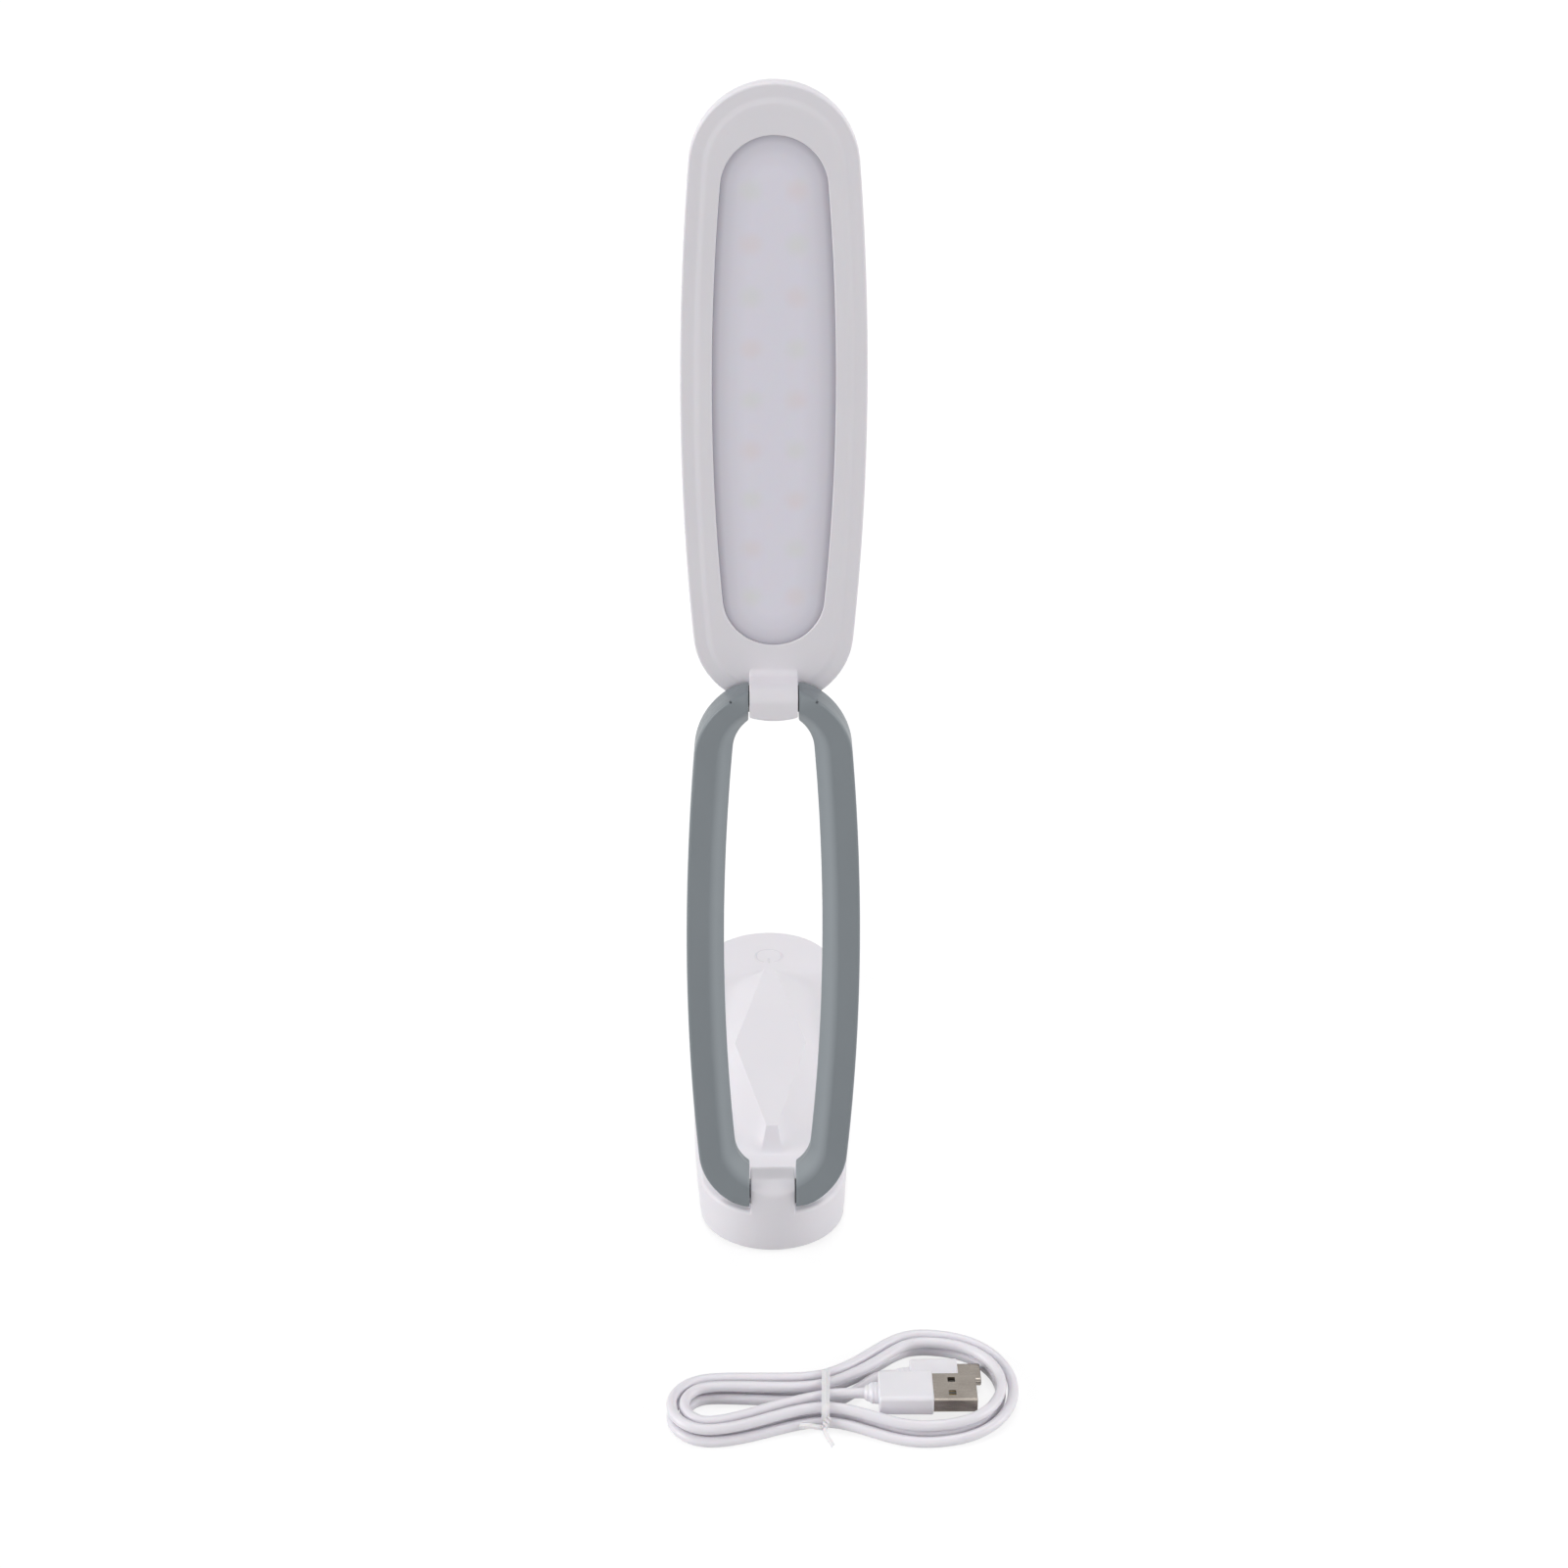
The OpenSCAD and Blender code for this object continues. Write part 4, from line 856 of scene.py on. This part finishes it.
# Phosphor bronze for the spring pad: warm, bright, lightly stained
refinish("touch_electrode", plain_finish("phosphor_bronze_spring", "#b98752", "#cd9a63", 2, 0.02,
                                         metallic=1, roughness=0.35))
# Silicone on the wires: soft red with a dull sheen
silicone = plain_finish("silicone_red", "#8c1515", "#a31d1c", 1.5, 0.04, roughness=0.45, ior=1.43)
refinish("base_wire", silicone)


# Foot pad: an oval of dark grey foam rubber, glued into a recess of the bottom cover. It stands
# out a little, and its cut edge is slightly crushed.
pad_low, pad_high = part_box("base_foot_pad")
PAD = ((pad_high.y - pad_low.y) / MM, (pad_high.x - pad_low.x) / MM, 12)
pad_rings = [oval_ring(PAD, -0.5, 0), oval_ring(PAD, -0.15, 0.12), oval_ring(PAD, 0, 0.4),
             oval_ring(PAD, 0, pad_high.z / MM)]
pad = solid("foot_pad", pad_rings)
rubber, tree, where = new_material("foam_rubber_grey")
pores = add(tree, "TexVoronoi", {"Vector": where, "Scale": per_metre(0.7)})
tint = add(tree, "Mix", {0: pores.outputs["Distance"], 6: linear("#2e2f31"),
                         7: linear("#4a4b4e")}, data_type="RGBA")
bump = add(tree, "Bump", {"Height": pores.outputs["Distance"], "Strength": 0.5,
                          "Distance": 0.15 * MM})
surface = add(tree, "BsdfPrincipled", {"Base Color": tint.outputs[2], "Roughness": 0.85,
                                       "Normal": bump.outputs[0]})
add(tree, "OutputMaterial", {"Surface": surface.outputs[0]})
fit_out(pad, rubber, "base", "foot_rubber", "base_foot_pad")

# Bottom cover: a flat plate of the same ABS, let into the casing with a fine joint. It has the
# pad's recess below and is held by four sunk steel screws.
COVER_JOINT = 0.15
COVER = (base_low.z / MM, COVER_TOP)
cover_plate = solid("bottom_cover", [
    oval_ring(PAD, 0.3, COVER[0] + 0.6), oval_ring(PAD, 0.3, COVER[0] + 0.1),
    oval_ring(PAD, 0.42, COVER[0]), oval_ring(PANEL, -WALL - COVER_JOINT - 0.3, COVER[0]),
    oval_ring(PANEL, -WALL - COVER_JOINT, COVER[0] + 0.3),
    oval_ring(PANEL, -WALL - COVER_JOINT, COVER[1])])
SCREW_SINK, SCREW_WAY = 2.4, 1.4
for x, y in cover_screws:
    carve(cover_plate, rod((x, y, 0), (x, y, COVER[1] - 1), SCREW_SINK))
    carve(cover_plate, rod((x, y, 0), (x, y, COVER[1] + 0.6), SCREW_WAY))
fit_out(cover_plate, abs_white, "base", "white_shell", "base_bottom_cover")

# Zinc plated steel screws: bright, slightly yellow where the zinc is passivated
zinc = plain_finish("zinc_plated_steel", "#a9a8a2", "#c3c2bf", 0.8, 0.03, metallic=1,
                    roughness=0.33)
refinish("base_screws", zinc)


# Ring arm: each limb is two half shells of grey ABS, screwed together from behind along a fine
# parting line. The front is flat and rolls softly into the opening, which lies a little nearer
# to the head, and the ends are barrel shaped so that they turn clear of the panels.
LIMB = 10.75
SKIN = 1.4
SEAM = 0.15
OUTER_ROUND = 0.8
ROLL_FROM = 4.75
OPENING_SHIFT = 2.2
END_X = LUG_HALF + 0.3
arm_axis, head_axis = hinge["arm_fold"], hinge["head_fold"]
SPAN = (head_axis - arm_axis).length
lean = math.atan2(head_axis.y - arm_axis.y, head_axis.z - arm_axis.z)
stand_up = Matrix.Rotation(math.pi / 2 - lean, 4, "X")
arm_place = Matrix.Translation(MM * arm_axis) @ stand_up
head_place = Matrix.Translation(MM * head_axis) @ stand_up


def limb_outline(hollow):
    """Half section of a limb: the way in from the outer edge, and the height above the parting
    line. hollow is 1 where the limb is hollow and 0 in its solid ends."""
    half = EYE_RADIUS
    spots = [(SEAM, 0), (0, SEAM), (0, half - OUTER_ROUND)]
    spots += [(OUTER_ROUND * (1 - math.cos(a)), half - OUTER_ROUND * (1 - math.sin(a)))
              for a in [math.pi / 2 * i / 5 for i in range(1, 6)]]
    spots += [(3, half), (LIMB - ROLL_FROM, half)]
    start, pull, push, end = ((LIMB - ROLL_FROM, half), (LIMB - 3.6, half), (LIMB - 1.5, 2.6),
                              (LIMB, 1.2))
    for u in [i / 10 for i in range(1, 11)]:
        spots.append(tuple(a * (1 - u) ** 3 + 3 * b * u * (1 - u) ** 2 + 3 * c * u * u * (1 - u)
                           + d * u ** 3 for a, b, c, d in zip(start, pull, push, end)))
    spots += [(LIMB, SEAM), (LIMB - SEAM, 0)]
    inner = [(LIMB - SKIN, 0), (LIMB - SKIN, 0.8), (LIMB - SKIN - 0.5, 1.7),
             (LIMB - ROLL_FROM - 0.4, half - SKIN), (SKIN + 0.4, half - SKIN),
             (SKIN, half - SKIN - 0.4), (SKIN, 0)]
    return spots + [(s, z * hollow) for s, z in inner]


def limb_point(share, s, z):
    """Point of the right limb at a share of its length, from -1 at the lower end to 1. Each line
    along the limb ends in the plane beside the lug."""
    middle, side, meet_turn = oval_arcs(PANEL)
    way, part = math.copysign(1, share), abs(share)
    if part < 0.4:
        turn = meet_turn * part / 0.4
        x, y = PANEL[1] / 2 - side + (side - s) * math.cos(turn), (side - s) * math.sin(turn)
    else:
        last = math.acos(END_X / (PANEL[2] - s))
        turn = meet_turn + (last - meet_turn) * (part - 0.4) / 0.6
        x, y = (PANEL[2] - s) * math.cos(turn), middle + (PANEL[2] - s) * math.sin(turn)
    y = way * y + OPENING_SHIFT * s / LIMB
    past = max(0, abs(y) - REACH)
    return Vector((x, REACH + y, z * math.sqrt(max(0, 1 - (past / EYE_RADIUS) ** 2))))


def limb_ring(share):
    hollow = ease(min(1, max(0, (0.82 - abs(share)) / 0.04)))
    inset = 0.22 if abs(share) == 1 else 0
    return [limb_point(share, min(LIMB - inset, max(inset, s)), max(0, z - inset) if z else 0)
            for s, z in limb_outline(hollow)]


def edge_distance(point):
    """How far a point of the right limb lies in from the outer edge, in millimetres."""
    middle, side, meet_turn = oval_arcs(PANEL)
    s = LIMB / 2
    for _ in range(3):
        y = abs(point.y - REACH - OPENING_SHIFT * s / LIMB)
        from_side = Vector((point.x - PANEL[1] / 2 + side, y))
        s = (side - from_side.length if math.atan2(from_side.y, from_side.x) < meet_turn
             else PANEL[2] - math.hypot(point.x, y - middle))
    return s


limb_shares = [-1, -0.985] + [-0.97 + 1.94 * i / 64 for i in range(65)] + [0.985, 1]
SCREW_ALONG = 0.26 * PANEL[0]
ARM_SCREW_HEAD = 1.8
SCREW_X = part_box("arm_screws")[1].x / MM - ARM_SCREW_HEAD
PIN_SEAT = 2.02
PIN_END = 10.4
FRONT_POST, BACK_POST = 2.2, 2.6
POST_STRAIGHT = EYE_RADIUS - 1.7
ARM_SCREW_WAY, ARM_SCREW_BITE = 1.15, 0.85
HEAD_POCKET, POCKET_RIM = 1.95, 2.45
NOTCH, NOTCH_X = 0.4, 11.9


def half_limb(name, side, back):
    """One of the four half shells. side is -1 or 1, and back is 1 for the screw side."""
    flip = Matrix.Diagonal((side, 1, -1 if back else 1, 1))
    place = arm_place @ flip
    shell = solid(name, [limb_ring(share) for share in limb_shares], place=place)
    for end in (0, SPAN):
        carve(shell, rod((0, end, 0), (PIN_END, end, 0), PIN_SEAT, place))
    for way in (-1, 1):
        y = REACH + way * SCREW_ALONG
        radius = BACK_POST if back else FRONT_POST
        post = [[Vector((SCREW_X + a, y + b, z)) for a, b in circle(r, 40)]
                for r, z in ((radius, 0), (radius, POST_STRAIGHT),
                             (radius - SKIN, POST_STRAIGHT + SKIN / 2))]
        carve(shell, solid("post", post, place=place), "UNION")
        if back:
            carve(shell, rod((SCREW_X, y, -1), (SCREW_X, y, 6), ARM_SCREW_WAY, place))
            carve(shell, rod((SCREW_X, y, EYE_RADIUS - 1.6), (SCREW_X, y, 6), HEAD_POCKET, place))
            dip = [[Vector((SCREW_X + a, y + b, z)) for a, b in circle(r, 40)]
                   for r, z in ((1.9, EYE_RADIUS - 0.25), (POCKET_RIM, EYE_RADIUS + 0.3))]
            carve(shell, solid("dip", dip, place=place))
        else:
            carve(shell, rod((SCREW_X, y, -1), (SCREW_X, y, 3.2), ARM_SCREW_BITE, place))
            notch_y = REACH + way * (REACH + 1)
            carve(shell, rod((NOTCH_X, notch_y, 4.2), (NOTCH_X, notch_y, 5.2), NOTCH, place, 16))
    to_arm = place.inverted()
    # How far each point lies in from the outer edge, which places the painted highlight on the
    # rolled inner edge
    way_in = shell.data.attributes.new("way_in", "FLOAT", "POINT")
    for vertex in shell.data.vertices:
        way_in.data[vertex.index].value = edge_distance(to_arm @ vertex.co / MM)
    return shell


# Grey ABS with a slightly finer grain than the base, which takes the light softly. Its rolled inner
# edge has a painted highlight: a paler second tint stands in for the sheen of the side lamps on it.
# The grain of 0.05 mm is drawn at 0.3 mm.
abs_grey, tree, where = new_material("moulded_abs_grey")
flow = add(tree, "TexNoise", {"Vector": where, "Scale": per_metre(30), "Detail": 4})
tint = add(tree, "Mix", {0: flow.outputs["Fac"], 6: linear("#7f868b"),
                         7: linear("#878e93")}, data_type="RGBA")
way_in = add(tree, "Attribute", attribute_name="way_in")
# Painted highlight: the tint turns paler over the inner few millimetres towards the opening
painted_sheen_edge = add(tree, "MapRange", {
    "Value": way_in.outputs["Fac"], "From Min": LIMB - 5, "From Max": LIMB - 2},
    interpolation_type="SMOOTHSTEP")
tint = add(tree, "Mix", {0: painted_sheen_edge.outputs[0], 6: tint.outputs[2],
                         7: linear("#989fa4")}, data_type="RGBA")
grain = add(tree, "TexNoise", {"Vector": where, "Scale": per_metre(0.3), "Detail": 4,
                               "Roughness": 0.65})
bump = add(tree, "Bump", {"Height": grain.outputs["Fac"], "Strength": 0.22, "Distance": 0.06 * MM})
gloss = add(tree, "MapRange", {"Value": flow.outputs["Fac"], "To Min": 0.38, "To Max": 0.46})
surface = add(tree, "BsdfPrincipled", {
    "Base Color": tint.outputs[2], "Roughness": gloss.outputs[0], "IOR": 1.53,
    "Normal": bump.outputs[0]})
add(tree, "OutputMaterial", {"Surface": surface.outputs[0]})
for side, side_name in ((-1, "left"), (1, "right")):
    for back, half_name in ((0, "front"), (1, "back")):
        limb = half_limb(f"limb_{side_name}_{half_name}", side, back)
        fit_out(limb, abs_grey, "arm", "grey_shell", f"arm_{side_name}_{half_name}_shell")

# Hinges: hollow pins of turned steel, pressed into the limbs, and a nylon washer at each side of
# each lug. The washers rub, so the head and the arm stay where they are put. The supply wires run
# through the pins.
turned = plain_finish("turned_steel", "#8e8f91", "#aaabad", 0.5, 0.02, metallic=1, roughness=0.3)
nylon = plain_finish("moulded_nylon_black", "#19191b", "#232326", 0.8, 0.03, roughness=0.55,
                     ior=1.53)
WASHER_RADIUS = 3.7
for name, place in (("base_washers", arm_place), ("head_washers", head_place)):
    pair = []
    for side in (-1, 1):
        inner, outer = side * (LUG_HALF + 0.04), side * (END_X - 0.03)
        disc = rod((inner, 0, 0), (outer, 0, 0), WASHER_RADIUS, place)
        pair.append(carve(disc, rod((inner - side, 0, 0), (outer + side, 0, 0), PIN_SEAT, place)))
    washers = carve(pair[0], pair[1], "UNION")
    washers.name = name
    fit_out(washers, nylon, "arm", "washer_plastic", name[:4] + "_hinge_washers")
for node in ("base_hinge_pin", "head_hinge_pin"):
    refinish(node, turned)
refinish("arm_screws", zinc)
refinish("arm_wire", silicone)


# Head frame: white ABS like the base, with a lowered rim, a soft step up to the panel round the
# light, and the hinge eye. It snaps onto the back cover along a fine line at the sides.
HEAD_DEPTH = 11
SEAM_DEPTH = 3
RIM = 4.2
RIM_STEP = 0.4
FRAME_SKIN = 1.8
HEAD_WALL = 1.5
LIGHT = (142, 33, 14)
LIGHT_SHIFT = 2.7
LIP_ROUND = 0.4
panel_place = head_place @ Matrix.Translation(MM * Vector((0, REACH, -AXIS_HEIGHT)))

frame_rings = [oval_ring(PANEL, -0.15, -SEAM_DEPTH), oval_ring(PANEL, 0, 0.15 - SEAM_DEPTH)]
frame_rings += rolled(PANEL, 0, -RIM_STEP - 0.6, 0.6)
frame_rings += [oval_ring(PANEL, 1 - RIM - 2.2 * i / 8,
                          -RIM_STEP * (0.5 + 0.5 * math.cos(math.pi * i / 8))) for i in range(9)]
frame_rings += [oval_ring(LIGHT, LIP_ROUND * (1 - math.sin(a)), -LIP_ROUND * (1 - math.cos(a)),
                          LIGHT_SHIFT) for a in [math.pi / 2 * i / 5 for i in range(6)]]
frame_rings += [oval_ring(LIGHT, 0, -FRAME_SKIN, LIGHT_SHIFT),
                oval_ring(PANEL, -HEAD_WALL, -FRAME_SKIN),
                oval_ring(PANEL, -HEAD_WALL, -SEAM_DEPTH)]
front = solid("head_front", frame_rings, joined=True, place=panel_place)
head_eye = head_place @ Matrix.Translation(MM * Vector((0, 0, -AXIS_HEIGHT)))
HEAD_EYE_CORNER = 0.8
carve(front, hinge_eye(0, HEAD_EYE_CORNER, head_eye), "UNION")
carve(front, rod((-9, 0, 0), (9, 0, 0), PIN_HOLE, head_place))
fit_out(front, abs_white, "head", "white_shell", "head_front_frame")

# Back cover: white ABS again, rounded from the seam in to a flat back. It closes the head behind
# the lamp board.
BACK_FLAT = 14
BACK_FROM = 4.4
BACK_RISE = HEAD_DEPTH - BACK_FROM


def back_rings(inset, steps=12):
    """Rings from the rounded side of the cover in to its flat back."""
    rings = []
    for a in [math.pi / 2 * i / steps for i in range(steps + 1)]:
        wide, deep = math.cos(a) ** 0.8, math.sin(a) ** 0.8
        rings.append(oval_ring(PANEL, -inset - BACK_FLAT * (1 - wide),
                               -BACK_FROM - (BACK_RISE - inset) * deep))
    return rings


cover_rings = list(reversed(back_rings(HEAD_WALL)))[:-1]
cover_rings += [oval_ring(PANEL, -HEAD_WALL, -BACK_FROM), oval_ring(PANEL, -HEAD_WALL, -SEAM_DEPTH),
                oval_ring(PANEL, -0.15, -SEAM_DEPTH), oval_ring(PANEL, 0, -SEAM_DEPTH - 0.15)]
cover_rings += back_rings(0)
cover = solid("head_cover", cover_rings, place=panel_place)
fit_out(cover, abs_white, "head", "white_shell", "head_back_cover")

# Diffuser: a lens of milky acrylic. It drops into the frame's opening from behind, its rim rests
# against the back of the frame, and its face sits just below the lip.
SINK = 0.5
LENS_STEPS = [(0.05, -0.66), (0.15, -0.6), (0.4, -0.56), (0.9, -0.53), (1.6, -SINK), (3, -SINK),
              (4.5, -0.48), (6, -0.46), (8, -0.44), (10, -0.42), (12.4, -0.4)]
lens_rings = [oval_ring(LIGHT, 1.6, -FRAME_SKIN - 1.2, LIGHT_SHIFT),
              oval_ring(LIGHT, 1.6, -FRAME_SKIN, LIGHT_SHIFT),
              oval_ring(LIGHT, -0.05, -FRAME_SKIN, LIGHT_SHIFT)]
lens_rings += [oval_ring(LIGHT, -s, z, LIGHT_SHIFT) for s, z in LENS_STEPS]
lens = solid("diffuser_lens", lens_rings)
lens.matrix_world = panel_place
# How far each ring lies in from the edge, which places the painted edge shade
depth = lens.data.attributes.new("from_edge", "FLOAT", "POINT")
lens_depths = [0, 0, 0] + [s for s, z in LENS_STEPS]
for vertex in lens.data.vertices:
    depth.data[vertex.index].value = lens_depths[vertex.index // len(full_turn)]

# Milky acrylic: matt and even, with painted shade towards its edge that stands in for the shade of
# the frame's lip and the dimmer box behind it. The lamps show through as faint warm and cool spots,
# two by two.
LED_PITCH = 14.15
LED_SPREAD = 12
milky, tree, where = new_material("cast_acrylic_milky")
spot = add(tree, "SeparateXYZ", {0: where})
row = add(tree, "Math", {0: spot.outputs["Y"], 1: LIGHT_SHIFT * MM}, operation="SUBTRACT")
row = add(tree, "Math", {0: row.outputs[0], 1: LED_PITCH * MM}, operation="DIVIDE")
nearest = add(tree, "Math", {0: row.outputs[0]}, operation="ROUND")
up_off = add(tree, "Math", {0: row.outputs[0], 1: nearest.outputs[0]}, operation="SUBTRACT")
up_off = add(tree, "Math", {0: up_off.outputs[0], 1: LED_PITCH}, operation="MULTIPLY")
side_off = add(tree, "Math", {0: spot.outputs["X"]}, operation="ABSOLUTE")
side_off = add(tree, "Math", {0: side_off.outputs[0], 1: 1 / MM, 2: -LED_SPREAD / 2},
               operation="MULTIPLY_ADD")
apart = add(tree, "CombineXYZ", {"X": side_off.outputs[0], "Y": up_off.outputs[0]})
apart = add(tree, "VectorMath", {0: apart.outputs[0]}, operation="LENGTH")
halo = add(tree, "MapRange", {"Value": apart.outputs["Value"], "From Min": 0.5,
                              "From Max": 4.5, "To Min": 1, "To Max": 0},
           interpolation_type="SMOOTHSTEP")
within = add(tree, "Math", {0: nearest.outputs[0]}, operation="ABSOLUTE")
within = add(tree, "Math", {0: within.outputs[0], 1: 4.5}, operation="LESS_THAN")
halo = add(tree, "Math", {0: halo.outputs[0], 1: within.outputs[0]}, operation="MULTIPLY")
parity = add(tree, "Math", {0: nearest.outputs[0], 1: 2}, operation="FLOORED_MODULO")
right = add(tree, "Math", {0: spot.outputs["X"], 1: 0}, operation="GREATER_THAN")
warm = add(tree, "Math", {0: parity.outputs[0], 1: right.outputs[0], 2: 0.5}, operation="COMPARE")
lamp_tint = add(tree, "Mix", {0: warm.outputs[0], 6: linear("#ead9d6"),
                              7: linear("#dfe4d8")}, data_type="RGBA")
edge = add(tree, "Attribute", attribute_name="from_edge")
# Painted shade: the colour darkens over the outer 9 mm of the lens towards the lip
painted_edge_shade = add(tree, "ValToRGB")
edge_shade_share = add(tree, "MapRange", {"Value": edge.outputs["Fac"], "From Max": 9})
tree.links.new(edge_shade_share.outputs[0], painted_edge_shade.inputs[0])
stops = painted_edge_shade.color_ramp.elements
stops[0].color, stops[1].color = linear("#bdb9c4"), linear("#e9e6f1")
stops.new(0.22).color = linear("#d8d5df")
stops.new(0.55).color = linear("#e3e0ea")
strength = add(tree, "Math", {0: halo.outputs[0], 1: 0.32}, operation="MULTIPLY")
tint = add(tree, "Mix", {0: strength.outputs[0], 6: painted_edge_shade.outputs[0],
                         7: lamp_tint.outputs[2]}, data_type="RGBA")
matt = add(tree, "TexNoise", {"Vector": where, "Scale": per_metre(0.3), "Detail": 3})
bump = add(tree, "Bump", {"Height": matt.outputs["Fac"], "Strength": 0.1, "Distance": 0.05 * MM})
surface = add(tree, "BsdfPrincipled", {
    "Base Color": tint.outputs[2], "Roughness": 0.48, "IOR": 1.49, "Normal": bump.outputs[0],
    "Subsurface Weight": 0.15, "Subsurface Scale": 1.5 * MM})
add(tree, "OutputMaterial", {"Surface": surface.outputs[0]})
fit_out(lens, milky, "head", "milky_diffuser", "diffuser")

# Behind the lens lie the lamp board with its white resist, the reflecting film and the lamps,
# whose phosphor is orange in the warm ones and pale yellow in the cool ones.
refinish("led_board", plain_finish("lamp_board_white", "#dcdcd8", "#e8e8e4", 1, 0.02,
                                   roughness=0.4, ior=1.55))
refinish("reflector_sheet", plain_finish("polyester_film_white", "#eeeeee", "#f6f6f6", 5, 0.05,
                                         roughness=0.2, ior=1.64))
refinish("leds_warm", plain_finish("phosphor_warm", "#e8a03c", "#f0b050", 0.4, 0.02,
                                   roughness=0.3, ior=1.41))
refinish("leds_cool", plain_finish("phosphor_cool", "#e6dc6a", "#eee684", 0.4, 0.02,
                                   roughness=0.3, ior=1.41))
refinish("head_wire", silicone)
